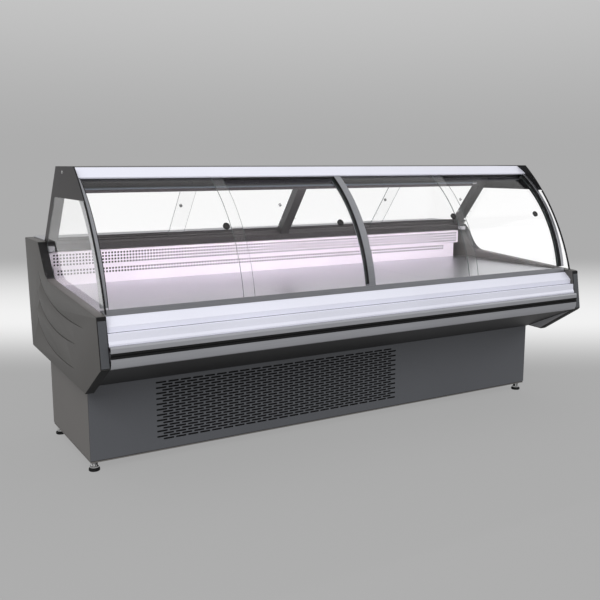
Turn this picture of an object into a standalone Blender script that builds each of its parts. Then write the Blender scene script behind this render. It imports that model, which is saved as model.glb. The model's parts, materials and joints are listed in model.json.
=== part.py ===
"""Serve-over refrigerated deli case: plinth, insulated tub, curved sliding glass and canopy.

Units are metres, +Z up. +X runs along the counter, -Y faces the customer, +Y faces the staff.
The origin is on the floor under the middle of the case.
"""
import math

import bmesh
import bpy
from mathutils import Matrix, Vector

# ---------------------------------------------------------------- driving dimensions
LENGTH = 2.500                # overall, end panel to end panel
DEPTH = 1.150                 # overall, bumper to worktop edge
HEIGHT = 1.231                # overall, floor to canopy
COUNTER_HEIGHT = 0.900        # end panel's rear top
FRONT_HEIGHT = 0.700          # foot of the curved glass
PLINTH_TOP = 0.388            # where the tub rests
PLINTH_DEPTH = 0.598
PLINTH_SETBACK = 0.335        # bumper face to plinth face
PLINTH_CLEAR = 0.001          # end panel's inner face to plinth side
FOOT_HEIGHT = 0.042
FOOT_RADIUS = 0.023
FOOT_INSET = 0.023            # foot axis from the plinth's sides
FOOT_SETBACK = 0.033          # foot axis from the plinth's front and rear
STEM_RADIUS = 0.019
PAD_HEIGHT = 0.0125

GAP = 0.0003                  # between pieces that touch
SHEET = 0.003                 # folded sheet steel
END_THICKNESS = 0.038         # moulded end panels
WALL = 0.060                  # insulated tub's rear wall and floor
FRONT_WALL = 0.0602           # insulated tub's front wall
TUB_SETBACK = 0.0898          # bumper face to the tub's front
TUB_RIM_DROP = 0.0105         # tub's front rim below the foot of the glass

GLASS = 0.005                 # sliding panes
END_GLASS = 0.0055
GLASS_RISE = 0.0786           # how far the front arc stands off its chord
GLASS_SETBACK = 0.0906        # bumper face to the foot of the glass
GLASS_HEAD_BACK = 0.0658      # head of the arc behind the canopy sides' front
OUTLINE_RISE = 0.047          # the same three for the outline of the end glasses and canopy sides
OUTLINE_SETBACK = 0.061
OUTLINE_HEAD_BACK = 0.002
ARC_HEAD_DROP = 0.003         # head of both arcs below the canopy's top
OUTLINE_PROUD = 0.010         # end glass and canopy side outside the outline arc
TRACK_CLEARANCE = 0.001       # each side of a pane in its groove
TRACK_RIB = 0.006             # rib between the two grooves
TRACK_LIP = 0.004             # track wall outside the outer pane
TRACK_REAR_WALL = 0.006       # track wall behind the inner pane
TRIM_STEP = 0.004             # trims and mullion stand behind the track's back by this
GROOVE_DEPTH = 0.010
PANE_OVERLAP = 0.045
REAR_OVERLAP = 0.085
TRIM_WIDTH = 0.0255
MULLION_WIDTH = 0.035
POST_WIDTH = 0.048
POST_DEPTH = 0.045
PULL_RADIUS = 0.015
PULL_BORE = 0.0115
PULL_FLANGE = 0.0022
PULL_DISH = 0.0035            # how far its face is dished
PULL_EDGE = 0.072             # pull's centre from the pane's edge
PULL_HEIGHT = 0.992

CANOPY_DEPTH = 0.263
CANOPY_SETBACK = 0.400        # bumper face to the front of the canopy's sides
CANOPY_SKIN = 0.016
CANOPY_DROP = 0.128           # how far the canopy's side panels hang
HEADER_LENGTH = 0.1124        # rear header, down the rear slope
CANOPY_SIDE = 0.0055
LAMP_RADIUS = 0.009
LAMP_END_GAP = 0.100

SILL_SETBACK = 0.225          # rear edge to the foot of the rear glass
SILL_RISE = 0.013             # sill top above the counter
WORKTOP_THICKNESS = 0.019
WORKTOP_PROUD = 0.004
REAR_OVERHANG = 0.0415        # worktop edge to rear panel

DECK_HEIGHT = 0.700
DECK_SKIRT = 0.0102
DECK_COUNT = 3
DUCT_TOP = 0.850
DUCT_SPLIT = 0.780
DUCT_FACE = 0.285             # rear edge to the upper duct face
DUCT_STEP = 0.006

FAN_RADIUS = 0.100            # condenser fan, blade tips
CHILL_FAN_RADIUS = 0.062      # evaporator fans, blade tips
FAN_CLEARANCE = 0.006
COMPRESSOR_RADIUS = 0.092
COMPRESSOR_HEIGHT = 0.215

GROOVE_RADIUS = 0.006         # flutes moulded into the end panels
ARC_STEPS = 20
FILLET_STEPS = 6

# ---------------------------------------------------------------- derived places
Y_FRONT = -DEPTH / 2
Y_REAR = DEPTH / 2
X_END = LENGTH / 2                              # end panel's outer face
X_IN = X_END - END_THICKNESS                    # end panel's inner face
X_FIT = X_IN - GAP                              # what spans between the end panels
X_ROOF = X_FIT - CANOPY_SIDE - GAP              # roof, fascia, trims and track, between the side panels
X_TRIM = X_FIT - TRIM_WIDTH                     # inner face of the arc trims
PLINTH_X = X_IN - PLINTH_CLEAR
PLINTH_FRONT = Y_FRONT + PLINTH_SETBACK
PLINTH_REAR = PLINTH_FRONT + PLINTH_DEPTH
REAR_FACE = Y_REAR - REAR_OVERHANG
TUB_FLOOR = PLINTH_TOP + GAP
TUB_FRONT_TOP = FRONT_HEIGHT - TUB_RIM_DROP
TUB_FRONT = Y_FRONT + TUB_SETBACK
TUB_INNER_FRONT = TUB_FRONT + FRONT_WALL
TUB_INNER_REAR = REAR_FACE - WALL
TUB_INNER_FLOOR = TUB_FLOOR + WALL
WORKTOP_BOTTOM = COUNTER_HEIGHT + WORKTOP_PROUD - WORKTOP_THICKNESS
SILL_FACE = Y_REAR - SILL_SETBACK               # worktop's front edge
DUCT_Y = Y_REAR - DUCT_FACE

# the curved front, in section: one circle for the glass and its frame, one for the ends' outline
def arc_through(setback, head_back, rise):
    """Centre (y, z) and radius of the circle through a foot and a head, standing off their chord by rise."""
    foot = Vector((Y_FRONT + setback, FRONT_HEIGHT))
    head = Vector((Y_FRONT + CANOPY_SETBACK + head_back, HEIGHT - ARC_HEAD_DROP))
    chord = head - foot
    radius = chord.length ** 2 / (8 * rise) + rise / 2
    outward = Vector((-chord.y, chord.x)).normalized()
    return (foot + head) / 2 - outward * (radius - rise), radius


GLASS_ARC = arc_through(GLASS_SETBACK, GLASS_HEAD_BACK, GLASS_RISE)
OUTLINE_ARC = arc_through(OUTLINE_SETBACK, OUTLINE_HEAD_BACK, OUTLINE_RISE)

# the sloping rear: from the canopy's rear edge down to the worktop's front edge
SLOPE_TOP = Vector((Y_FRONT + CANOPY_SETBACK + CANOPY_DEPTH, HEIGHT))
SLOPE_FOOT = Vector((SILL_FACE, COUNTER_HEIGHT))
SLOPE_DOWN = (SLOPE_FOOT - SLOPE_TOP).normalized()
SLOPE_IN = Vector((SLOPE_DOWN.y, -SLOPE_DOWN.x))
SILL_AT = (HEIGHT - COUNTER_HEIGHT - SILL_RISE) / -SLOPE_DOWN.y

# pane tracks, as depths behind the outer face
OUTER_PANE = TRACK_CLEARANCE
INNER_PANE = OUTER_PANE + GLASS + 2 * TRACK_CLEARANCE + TRACK_RIB
TRACK_BACK = INNER_PANE + GLASS + TRACK_CLEARANCE + TRACK_REAR_WALL
TRIM_BACK = TRACK_BACK + TRIM_STEP
REAR_FIRST = 0.007            # depth of the outer groove behind the rear slope's face


def arc_point(depth, angle, arc=GLASS_ARC):
    """A (y, z) point behind the curved front's face by depth, at an angle about the arc's centre."""
    centre, radius = arc
    return (centre.x + (radius - depth) * math.cos(angle), centre.y + (radius - depth) * math.sin(angle))


def arc_angle(height, depth=0.0, arc=GLASS_ARC):
    """The angle about the arc's centre at which the curve reaches a height."""
    centre, radius = arc
    return math.pi - math.asin((height - centre.y) / (radius - depth))


def arc_run(depth, start, end, steps=ARC_STEPS, arc=GLASS_ARC):
    """Points along the curved front, from one angle to another."""
    return [arc_point(depth, start + (end - start) * i / steps, arc) for i in range(steps + 1)]


def outline_run(low, high, steps):
    """Points along the front edge shared by the end glasses and the canopy's sides, from low to high."""
    out = -OUTLINE_PROUD
    return arc_run(out, arc_angle(low, out, OUTLINE_ARC), arc_angle(high, out, OUTLINE_ARC), steps, OUTLINE_ARC)


def slope_point(along, depth):
    """A (y, z) point down the rear slope by along, and behind its face by depth."""
    point = SLOPE_TOP + SLOPE_DOWN * along + SLOPE_IN * depth
    return (point.x, point.y)


def fillet(before, corner, after, trim, steps=FILLET_STEPS):
    """A soft corner: it leaves each straight side at trim from the corner."""
    corner = Vector(corner)
    start = corner + (Vector(before) - corner).normalized() * trim
    end = corner + (Vector(after) - corner).normalized() * trim
    run = []
    for i in range(steps + 1):
        t = i / steps
        point = start * (1 - t) ** 2 + corner * 2 * t * (1 - t) + end * t ** 2
        run.append((point.x, point.y))
    return run


# ---------------------------------------------------------------- Blender helpers
for old in list(bpy.data.objects):
    bpy.data.objects.remove(old, do_unlink=True)

CASE = bpy.data.collections.new("refrigerated_deli_case")
CUTTERS = bpy.data.collections.new("cutters")
bpy.context.scene.collection.children.link(CASE)
bpy.context.scene.collection.children.link(CUTTERS)

FINISHES = {                  # colour, roughness, metallic
    "end_abs": ((0.110, 0.107, 0.100), 0.55, 0.0),
    "front_steel": ((0.090, 0.092, 0.100), 0.50, 0.2),
    "side_steel": ((0.150, 0.145, 0.138), 0.50, 0.2),
    "white_steel": ((0.800, 0.810, 0.860), 0.35, 0.0),
    "duct_steel": ((0.780, 0.740, 0.780), 0.40, 0.0),
    "foam_tub": ((0.780, 0.780, 0.800), 0.50, 0.0),
    "aluminium": ((0.300, 0.305, 0.320), 0.35, 0.9),
    "rubber": ((0.035, 0.035, 0.037), 0.70, 0.0),
    "black_steel": ((0.030, 0.030, 0.032), 0.60, 0.1),
    "stainless": ((0.560, 0.560, 0.570), 0.28, 1.0),
    "canopy_dark": ((0.085, 0.080, 0.082), 0.45, 0.1),
    "glass": ((0.850, 0.900, 0.900), 0.05, 0.0),
    "lamp_cover": ((0.900, 0.930, 0.960), 0.30, 0.0),
    "fins": ((0.450, 0.460, 0.470), 0.45, 0.9),
    "fan_plastic": ((0.040, 0.040, 0.042), 0.50, 0.0),
    "compressor_enamel": ((0.020, 0.020, 0.022), 0.30, 0.0),
    "chrome": ((0.600, 0.600, 0.600), 0.15, 1.0),
}


def finish(name):
    """The named Principled material, made once."""
    material = bpy.data.materials.get(name)
    if material is None:
        colour, roughness, metallic = FINISHES[name]
        material = bpy.data.materials.new(name)
        material.use_nodes = True
        shader = material.node_tree.nodes["Principled BSDF"]
        shader.inputs["Base Color"].default_value = (*colour, 1.0)
        shader.inputs["Roughness"].default_value = roughness
        shader.inputs["Metallic"].default_value = metallic
        if name == "glass":
            shader.inputs["Transmission Weight"].default_value = 1.0
        material.diffuse_color = (*colour, 1.0)
    return material


def shade(mesh, angle=30.0):
    """Smooth the round stretches and keep the edges."""
    mesh.shade_smooth()
    mesh.set_sharp_from_angle(angle=math.radians(angle))


def dress(obj, material):
    """Link a piece to the case and give it its finish."""
    CASE.objects.link(obj)
    obj.data.materials.append(finish(material))
    return obj


def as_cutter(obj):
    """Keep a shape only as a tool."""
    CUTTERS.objects.link(obj)
    obj.hide_render = True
    obj.display_type = "WIRE"
    return obj


def combine(target, tool, operation="DIFFERENCE"):
    """Cut a piece with a tool, or join the tool to it."""
    modifier = target.modifiers.new(operation.title(), "BOOLEAN")
    modifier.operation = operation
    modifier.object = tool
    return modifier


def swept(name, outline, x_low, x_high, pivot=(0.0, 0.0)):
    """A (y, z) outline carried along X, as a mesh object whose origin is on the pivot."""
    curve = bpy.data.curves.new(name, "CURVE")
    curve.dimensions = "2D"
    curve.fill_mode = "BOTH"
    curve.extrude = (x_high - x_low) / 2
    spline = curve.splines.new("POLY")
    spline.points.add(len(outline) - 1)
    spline.use_cyclic_u = True
    for point, (y, z) in zip(spline.points, outline):
        point.co = (y - pivot[0], z - pivot[1], 0.0, 1.0)
    source = bpy.data.objects.new(name + "_outline", curve)
    source.location = ((x_low + x_high) / 2, pivot[0], pivot[1])
    source.rotation_euler = (math.pi / 2, 0.0, math.pi / 2)
    CUTTERS.objects.link(source)
    bpy.context.view_layer.update()
    evaluated = source.evaluated_get(bpy.context.evaluated_depsgraph_get())
    mesh = bpy.data.meshes.new_from_object(evaluated)
    weld(mesh)
    obj = bpy.data.objects.new(name, mesh)
    obj.matrix_world = source.matrix_world.copy()
    bpy.data.objects.remove(source, do_unlink=True)
    bpy.data.curves.remove(curve)
    return obj


def weld(mesh):
    """Join a mesh's loose caps to its sides and turn its faces out."""
    shape = bmesh.new()
    shape.from_mesh(mesh)
    bmesh.ops.remove_doubles(shape, verts=shape.verts, dist=0.00002)
    bmesh.ops.recalc_face_normals(shape, faces=shape.faces)
    shape.to_mesh(mesh)
    shape.free()
    mesh.materials.clear()
    shade(mesh)


def blocks(name, boxes, centre=(0.0, 0.0, 0.0)):
    """One mesh object holding boxes, each given as its low and high corner about the centre."""
    shape = bmesh.new()
    for low, high in boxes:
        low, high = Vector(low), Vector(high)
        place = Matrix.Translation((low + high) / 2) @ Matrix.Diagonal((*(high - low), 1.0))
        bmesh.ops.create_cube(shape, size=1.0, matrix=place)
    mesh = bpy.data.meshes.new(name)
    shape.to_mesh(mesh)
    shape.free()
    obj = bpy.data.objects.new(name, mesh)
    obj.location = centre
    return obj


def cylinder(name, radius, length, centre, turn, segments=32):
    """A plain cylinder about its own centre, turned by an euler angle."""
    shape = bmesh.new()
    bmesh.ops.create_cone(shape, cap_ends=True, segments=segments, radius1=radius, radius2=radius,
                          depth=length)
    mesh = bpy.data.meshes.new(name)
    shape.to_mesh(mesh)
    shape.free()
    shade(mesh)
    obj = bpy.data.objects.new(name, mesh)
    obj.location = centre
    obj.rotation_euler = turn
    return obj


def turned(name, profile, centre, turn, material, steps=24):
    """A turned piece: (radius, height) points down its outer side, screwed about its own Z."""
    mesh = bpy.data.meshes.new(name)
    points = [(radius, 0.0, height) for radius, height in profile]
    mesh.from_pydata(points, [(i, i + 1) for i in range(len(points) - 1)], [])
    obj = bpy.data.objects.new(name, mesh)
    obj.location = centre
    obj.rotation_euler = turn
    screw = obj.modifiers.new("Screw", "SCREW")
    screw.steps = steps
    screw.render_steps = steps
    screw.use_merge_vertices = True
    screw.merge_threshold = 0.00005
    screw.use_smooth_shade = True
    return dress(obj, material)


def soften(obj, width, segments=2):
    """Round a piece's edges."""
    bevel = obj.modifiers.new("Bevel", "BEVEL")
    bevel.width = width
    bevel.segments = segments
    bevel.limit_method = "ANGLE"
    return obj


# ---------------------------------------------------------------- plinth and feet
GRILLE_LEFT = 0.290           # first slot from the plinth's left side
GRILLE_WIDTH = 1.250
GRILLE_LOW = 0.047            # above the plinth's lower edge
GRILLE_HIGH = 0.046           # below the plinth's top
SLOT_ROWS = 8
SLOT_COLUMNS = 8
SLOT_HEIGHT = 0.009
SLOT_SHARE = 0.80             # how much of its pitch a slot takes
VENT_DROP = 0.095             # rear vents below the plinth's top
VENT_BAND = 0.070
PAN_DEPTH = 0.028


def brick_slots(x_low, x_high, z_low, z_high, rows, columns, y_low, y_high):
    """Boxes of a brick pattern: every other row is moved by half a slot."""
    pitch = (x_high - x_low) / (columns + 0.5)
    rise = (z_high - z_low) / rows
    boxes = []
    for row in range(rows):
        z = z_low + rise * (row + 0.5)
        start = x_low + (pitch / 2 if row % 2 else 0.0)
        for column in range(columns):
            x = start + pitch * column
            low = (x, y_low, z - SLOT_HEIGHT / 2)
            high = (x + pitch * SLOT_SHARE, y_high, z + SLOT_HEIGHT / 2)
            boxes.append((low, high))
    return boxes


def build_plinth():
    low, high = FOOT_HEIGHT, PLINTH_TOP
    front = blocks("base_front_panel",
                   [((-PLINTH_X, PLINTH_FRONT, low), (PLINTH_X, PLINTH_FRONT + SHEET, high))])
    start = -PLINTH_X + GRILLE_LEFT
    slots = brick_slots(start, start + GRILLE_WIDTH, low + GRILLE_LOW, high - GRILLE_HIGH, SLOT_ROWS,
                        SLOT_COLUMNS, PLINTH_FRONT - SHEET, PLINTH_FRONT + 2 * SHEET)
    combine(front, as_cutter(blocks("grille_slots", slots)))
    dress(front, "front_steel")

    inner_front = PLINTH_FRONT + SHEET + GAP
    inner_rear = PLINTH_REAR - SHEET - GAP
    for side, name in ((-1, "base_left_panel"), (1, "base_right_panel")):
        near, far = sorted((side * PLINTH_X, side * (PLINTH_X - SHEET)))
        dress(blocks(name, [((near, inner_front, low), (far, inner_rear, high))]), "side_steel")

    rear = blocks("base_rear_panel",
                  [((-PLINTH_X, PLINTH_REAR - SHEET, low), (PLINTH_X, PLINTH_REAR, high))])
    vent_x = PLINTH_X - GRILLE_LEFT
    vents = brick_slots(-vent_x, vent_x, high - VENT_DROP - VENT_BAND, high - VENT_DROP, 2, 6,
                        PLINTH_REAR - 2 * SHEET, PLINTH_REAR + SHEET)
    combine(rear, as_cutter(blocks("rear_vents", vents)))
    dress(rear, "side_steel")

    pan_x = PLINTH_X - SHEET - GAP
    pan = blocks("chassis_pan", [((-pan_x, inner_front, low), (pan_x, inner_rear, low + PAN_DEPTH))])
    pocket = ((-pan_x + SHEET, inner_front + SHEET, low + SHEET),
              (pan_x - SHEET, inner_rear - SHEET, low + 2 * PAN_DEPTH))
    combine(pan, as_cutter(blocks("pan_pocket", [pocket])))
    dress(pan, "black_steel")

    foot_top = FOOT_HEIGHT - GAP
    stem, pad = STEM_RADIUS, FOOT_RADIUS
    ease, neck = 0.001, 0.004
    profile = [(0.0, foot_top), (stem - ease, foot_top), (stem, foot_top - ease), (stem, PAD_HEIGHT + neck),
               (stem - neck, PAD_HEIGHT), (pad - ease, PAD_HEIGHT), (pad, PAD_HEIGHT - ease), (pad, ease),
               (pad - ease, 0.0), (0.0, 0.0)]
    for end, x in (("left", -PLINTH_X + FOOT_INSET), ("right", PLINTH_X - FOOT_INSET)):
        for row, y in (("front", PLINTH_FRONT + FOOT_SETBACK), ("rear", PLINTH_REAR - FOOT_SETBACK)):
            turned("foot_%s_%s" % (row, end), profile, (x, y, 0.0), (0.0, 0.0, 0.0), "chrome")


# ---------------------------------------------------------------- condensing unit in the plinth
UNIT_X = -0.300               # condenser and fan
UNIT_WIDTH = 0.480
UNIT_DEPTH = 0.060
UNIT_HEIGHT = 0.255
SHROUD_DEPTH = 0.040
COMPRESSOR_AT = (0.130, 0.010)
COIL_END = 0.015              # solid margin round a coil's fins
FIN_DEPTH = 0.014


def fan(name, centre, hub_radius, tip_radius, depth, blades=5):
    """An axial fan on a Y axis: a hub with pitched blades joined to it."""
    hub = cylinder(name, hub_radius, depth, centre, (math.pi / 2, 0.0, 0.0), 20)
    chord = tip_radius * 0.60
    thickness = 0.003
    reach = math.sqrt(tip_radius ** 2 - (chord / 2) ** 2)
    root = hub_radius * 0.5
    for index in range(blades):
        blade = blocks("%s_blade_%d" % (name, index),
                       [((root, -chord / 2, -thickness / 2), (reach, chord / 2, thickness / 2))])
        spin = Matrix.Rotation(2 * math.pi * index / blades, 4, "Y")
        lie = Matrix.Rotation(math.radians(62), 4, "X")
        blade.matrix_world = Matrix.Translation(centre) @ spin @ lie
        combine(hub, as_cutter(blade), "UNION")
    return dress(hub, "fan_plastic")


def finned_block(name, low, high, count):
    """A coil: a block whose front face is cut by gaps between its fins."""
    coil = blocks(name, [(low, high)])
    pitch = (high[0] - low[0] - 2 * COIL_END) / count
    gaps = []
    for index in range(count):
        x = low[0] + COIL_END + pitch * (index + 0.25)
        near = (x, low[1] - FIN_DEPTH, low[2] + COIL_END)
        far = (x + pitch / 2, low[1] + FIN_DEPTH, high[2] - COIL_END)
        gaps.append((near, far))
    combine(coil, as_cutter(blocks(name + "_gaps", gaps)))
    return dress(coil, "fins")


def build_condensing_unit():
    floor = FOOT_HEIGHT + SHEET + GAP
    front = PLINTH_FRONT + 0.020
    left, right = UNIT_X - UNIT_WIDTH / 2, UNIT_X + UNIT_WIDTH / 2
    finned_block("condenser_coil", (left, front, floor), (right, front + UNIT_DEPTH, floor + UNIT_HEIGHT), 16)

    shroud_y = front + UNIT_DEPTH + GAP
    middle = floor + UNIT_HEIGHT / 2
    shroud = blocks("condenser_shroud",
                    [((left, shroud_y, floor), (right, shroud_y + SHROUD_DEPTH, floor + UNIT_HEIGHT))])
    mouth = cylinder("shroud_mouth", FAN_RADIUS + FAN_CLEARANCE, SHROUD_DEPTH * 2,
                     (UNIT_X, shroud_y + SHROUD_DEPTH / 2, middle), (math.pi / 2, 0.0, 0.0), 32)
    combine(shroud, as_cutter(mouth))
    dress(shroud, "black_steel")
    fan("condenser_fan", (UNIT_X, shroud_y + SHROUD_DEPTH * 0.55, middle), 0.026, FAN_RADIUS, 0.022)

    r, h = COMPRESSOR_RADIUS, COMPRESSOR_HEIGHT
    pot = [(0.0, h), (r * 0.45, h * 0.985), (r * 0.80, h * 0.93), (r * 0.97, h * 0.80), (r, h * 0.62),
           (r, h * 0.55), (r * 1.06, h * 0.54), (r * 1.06, h * 0.49), (r, h * 0.48), (r, h * 0.30),
           (r * 0.92, h * 0.16), (r * 0.70, h * 0.08), (r * 0.70, 0.0), (0.0, 0.0)]
    turned("compressor", pot, (*COMPRESSOR_AT, floor), (0.0, 0.0, 0.0), "compressor_enamel")


# ---------------------------------------------------------------- insulated tub, liner side and rear
CHIN_FORWARD = 0.022          # foot of the tub's sloping front, ahead of the plinth
CHIN_RISE = 0.108             # head of that slope, above the plinth
LINER_FILLET = 0.030
LINER_SLOPE = 0.045           # foot of the liner's slope, behind the outer one's
LINER_STRAIGHT = 0.080        # straight part of the liner's front


def build_tub():
    chin = PLINTH_FRONT - CHIN_FORWARD
    under_top = WORKTOP_BOTTOM - GAP
    bend = (TUB_INNER_FRONT, TUB_FRONT_TOP - LINER_STRAIGHT)
    middle = (0.0, TUB_INNER_FLOOR)
    rear_low = (TUB_INNER_REAR, TUB_INNER_FLOOR)
    front_low = (chin + LINER_SLOPE, TUB_INNER_FLOOR)
    outline = [(TUB_FRONT, TUB_FRONT_TOP), (TUB_FRONT, PLINTH_TOP + CHIN_RISE), (chin, TUB_FLOOR),
               (REAR_FACE, TUB_FLOOR), (REAR_FACE, under_top), (TUB_INNER_REAR, under_top)]
    outline += fillet((TUB_INNER_REAR, under_top), rear_low, middle, LINER_FILLET, 3)
    outline += fillet(middle, front_low, bend, LINER_FILLET, 3)
    outline += [bend, (TUB_INNER_FRONT, TUB_FRONT_TOP)]
    dress(swept("insulated_tub", outline, -X_FIT, X_FIT), "foam_tub")

    low = (-X_FIT, REAR_FACE + GAP, TUB_FLOOR)
    high = (X_FIT, REAR_FACE + GAP + SHEET, under_top)
    dress(blocks("rear_panel", [(low, high)]), "side_steel")

    top = COUNTER_HEIGHT + WORKTOP_PROUD
    slab = blocks("worktop", [((-X_FIT, SILL_FACE + GAP, WORKTOP_BOTTOM), (X_FIT, Y_REAR, top))])
    dress(soften(slab, 0.002), "stainless")


# ---------------------------------------------------------------- moulded end panels
PANEL_LIP = 0.008             # front lower corner behind the bumper face
PANEL_NOSE = 0.038            # front top corner behind the bumper face
PANEL_CHIN_Y = 0.230          # foot of the front chamfer, behind the bumper face
PANEL_CHIN = 0.366            # its height
PANEL_HEEL = 0.388            # rear lower corner's height
PANEL_HEEL_IN = 0.042         # and its place ahead of the rear edge
PANEL_FRONT_LOW = 0.507
PANEL_LEDGE = 0.012           # front end of the ledge, behind the sill's inner corner
SWOOP_RUN = 0.118             # from the ledge's front end to the dip
SWOOP_DIP = 0.154             # how far the top drops in front of the worktop
FLUTES = (                    # each flute's start, bend and end: behind the rear edge, above the floor
    ((0.238, 0.772), (0.330, 0.600), (0.939, 0.629)),
    ((0.195, 0.680), (0.285, 0.505), (0.818, 0.544)),
    ((0.152, 0.593), (0.245, 0.405), (0.783, 0.438)),
)
FLUTE_STEPS = 10


def panel_outline():
    """The end panel: worktop ledge, swoop down to the front, nose, chamfer and straight rear."""
    rear_top = (Y_REAR, COUNTER_HEIGHT)
    ledge = (slope_point(SILL_AT, POST_DEPTH)[0] + PANEL_LEDGE, COUNTER_HEIGHT - 0.001)
    dip = (ledge[0] - SWOOP_RUN, COUNTER_HEIGHT - SWOOP_DIP)
    nose = (Y_FRONT + PANEL_NOSE, FRONT_HEIGHT + 0.001)
    chin = (Y_FRONT + PANEL_CHIN_Y, PANEL_CHIN)
    lip = (Y_FRONT + PANEL_LIP, PANEL_FRONT_LOW)
    heel = (Y_REAR - PANEL_HEEL_IN, PANEL_HEEL)
    outline = fillet(heel, rear_top, ledge, 0.006, 2)
    outline += fillet(rear_top, ledge, dip, 0.010, 2)
    outline += fillet(ledge, dip, nose, 0.055)
    outline += fillet(dip, nose, lip, 0.008, 2)
    outline += fillet(nose, lip, chin, 0.010, 2)
    outline += [chin, heel]
    return outline


def flute(name, points, side):
    """A round tool that lies along a moulded flute and thins out at both ends."""
    start, bend, end = (Vector((Y_REAR - back, up)) for back, up in points)
    curve = bpy.data.curves.new(name, "CURVE")
    curve.dimensions = "3D"
    curve.bevel_depth = GROOVE_RADIUS
    curve.bevel_resolution = 1
    curve.use_fill_caps = True
    spline = curve.splines.new("POLY")
    spline.points.add(FLUTE_STEPS)
    for i, point in enumerate(spline.points):
        t = i / FLUTE_STEPS
        place = start * (1 - t) ** 2 + bend * 2 * t * (1 - t) + end * t ** 2
        point.co = (side * (X_END + GROOVE_RADIUS * 0.35), place.x, place.y, 1.0)
        point.radius = 0.38 + 0.62 * math.sin(math.pi * t)
    source = bpy.data.objects.new(name + "_path", curve)
    CUTTERS.objects.link(source)
    bpy.context.view_layer.update()
    evaluated = source.evaluated_get(bpy.context.evaluated_depsgraph_get())
    mesh = bpy.data.meshes.new_from_object(evaluated)
    weld(mesh)
    tool = bpy.data.objects.new(name, mesh)
    tool.matrix_world = source.matrix_world.copy()
    bpy.data.objects.remove(source, do_unlink=True)
    bpy.data.curves.remove(curve)
    return as_cutter(tool)


def build_end_panels():
    for side, name in ((-1, "left"), (1, "right")):
        low, high = sorted((side * X_IN, side * X_END))
        panel = swept(name + "_end_panel", panel_outline(), low, high)
        for index, points in enumerate(FLUTES):
            combine(panel, flute("%s_flute_%d" % (name, index), points, side))
        dress(panel, "end_abs")


# ---------------------------------------------------------------- customer front below the glass
RAIL_TOP = 0.5897
RAIL_LOW = 0.503
RAIL_WALL = 0.003
STRIP_HIGH = 0.5670
STRIP_LOW = 0.5455
STRIP_DEPTH = 0.012
STRIP_GROOVE = 0.005          # depth of the groove along the strip
UNDER_SETBACK = 0.023         # bumper face to the head of the sloping underside
UNDER_DROP = 0.0255           # its foot below the plinth's top


def build_front():
    y = Y_FRONT
    back = TUB_FRONT - GAP
    base = RAIL_TOP + GAP
    fascia = [(y + 0.086, TUB_FRONT_TOP), (y + 0.047, 0.657), (y + 0.047, 0.634), (y + 0.027, 0.634),
              (y + 0.025, 0.607), (y + 0.019, 0.597), (y + 0.019, base), (back, base), (back, base + 0.0025),
              (y + 0.022, base + 0.0025), (y + 0.022, 0.5965), (y + 0.028, 0.6062), (y + 0.0297, 0.6315),
              (y + 0.0495, 0.6315), (y + 0.0495, 0.656), (y + 0.0893, TUB_FRONT_TOP)]
    dress(swept("front_fascia", fascia, -X_FIT, X_FIT), "white_steel")

    w = RAIL_WALL
    root = y + STRIP_DEPTH + 0.001
    rail = [(back, RAIL_TOP), (y + 0.005, RAIL_TOP), (y + 0.001, RAIL_TOP - 0.006), (y + 0.001, STRIP_HIGH),
            (root, STRIP_HIGH), (root, STRIP_LOW), (y + 0.001, STRIP_LOW), (y + 0.002, RAIL_LOW + 0.021),
            (y + 0.009, RAIL_LOW + 0.006), (y + UNDER_SETBACK, RAIL_LOW), (back, RAIL_LOW),
            (back, RAIL_LOW + w), (y + UNDER_SETBACK + 0.001, RAIL_LOW + w), (y + 0.011, RAIL_LOW + 0.009),
            (y + 0.005, RAIL_LOW + 0.022), (y + 0.004, STRIP_LOW - w), (root + w, STRIP_LOW - w),
            (root + w, STRIP_HIGH + w), (y + 0.004, STRIP_HIGH + w), (y + 0.004, RAIL_TOP - 0.007),
            (y + 0.007, RAIL_TOP - w), (back, RAIL_TOP - w)]
    dress(swept("bumper_rail", rail, -X_FIT, X_FIT), "aluminium")

    high, low = STRIP_HIGH - GAP, STRIP_LOW + GAP
    middle = (high + low) / 2
    bottom, mouth = 0.001, 0.0028
    strip = [(root - GAP, low), (y, low), (y, middle - mouth), (y + STRIP_GROOVE, middle - bottom),
             (y + STRIP_GROOVE, middle + bottom), (y, middle + mouth), (y, high), (root - GAP, high)]
    dress(swept("bumper_strip", strip, -X_FIT, X_FIT), "rubber")

    top = (y + UNDER_SETBACK, RAIL_LOW - GAP)
    foot = (PLINTH_FRONT - GAP, PLINTH_TOP - UNDER_DROP)
    panel = [top, foot, (foot[0], foot[1] + SHEET), (back, RAIL_LOW - 5 * SHEET), (back, RAIL_LOW - GAP)]
    dress(swept("underside_panel", panel, -X_FIT, X_FIT), "black_steel")


# ---------------------------------------------------------------- curved front glass and its frame
TRACK_TOP = arc_angle(FRONT_HEIGHT + 0.012)
FASCIA_FOOT = arc_angle(HEIGHT - 0.049)
LIP_FOOT = arc_angle(HEIGHT - 0.040)
PANE_HEAD = arc_angle(HEIGHT - 0.0245)
STEP = GAP / GLASS_ARC[1]       # the touching gap as an angle
FASCIA_SKIN = 0.007
FASCIA_FACE = -0.001 - FASCIA_SKIN
FASCIA_HEAD = arc_angle(HEIGHT - 0.0035, FASCIA_FACE)


def groove_run(depth, top, floor_angle):
    """Four outline points of one pane groove, entered from the outer side."""
    near, far = depth - TRACK_CLEARANCE, depth + GLASS + TRACK_CLEARANCE
    return [arc_point(near, top), arc_point(near, floor_angle), arc_point(far, floor_angle),
            arc_point(far, top)]


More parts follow.
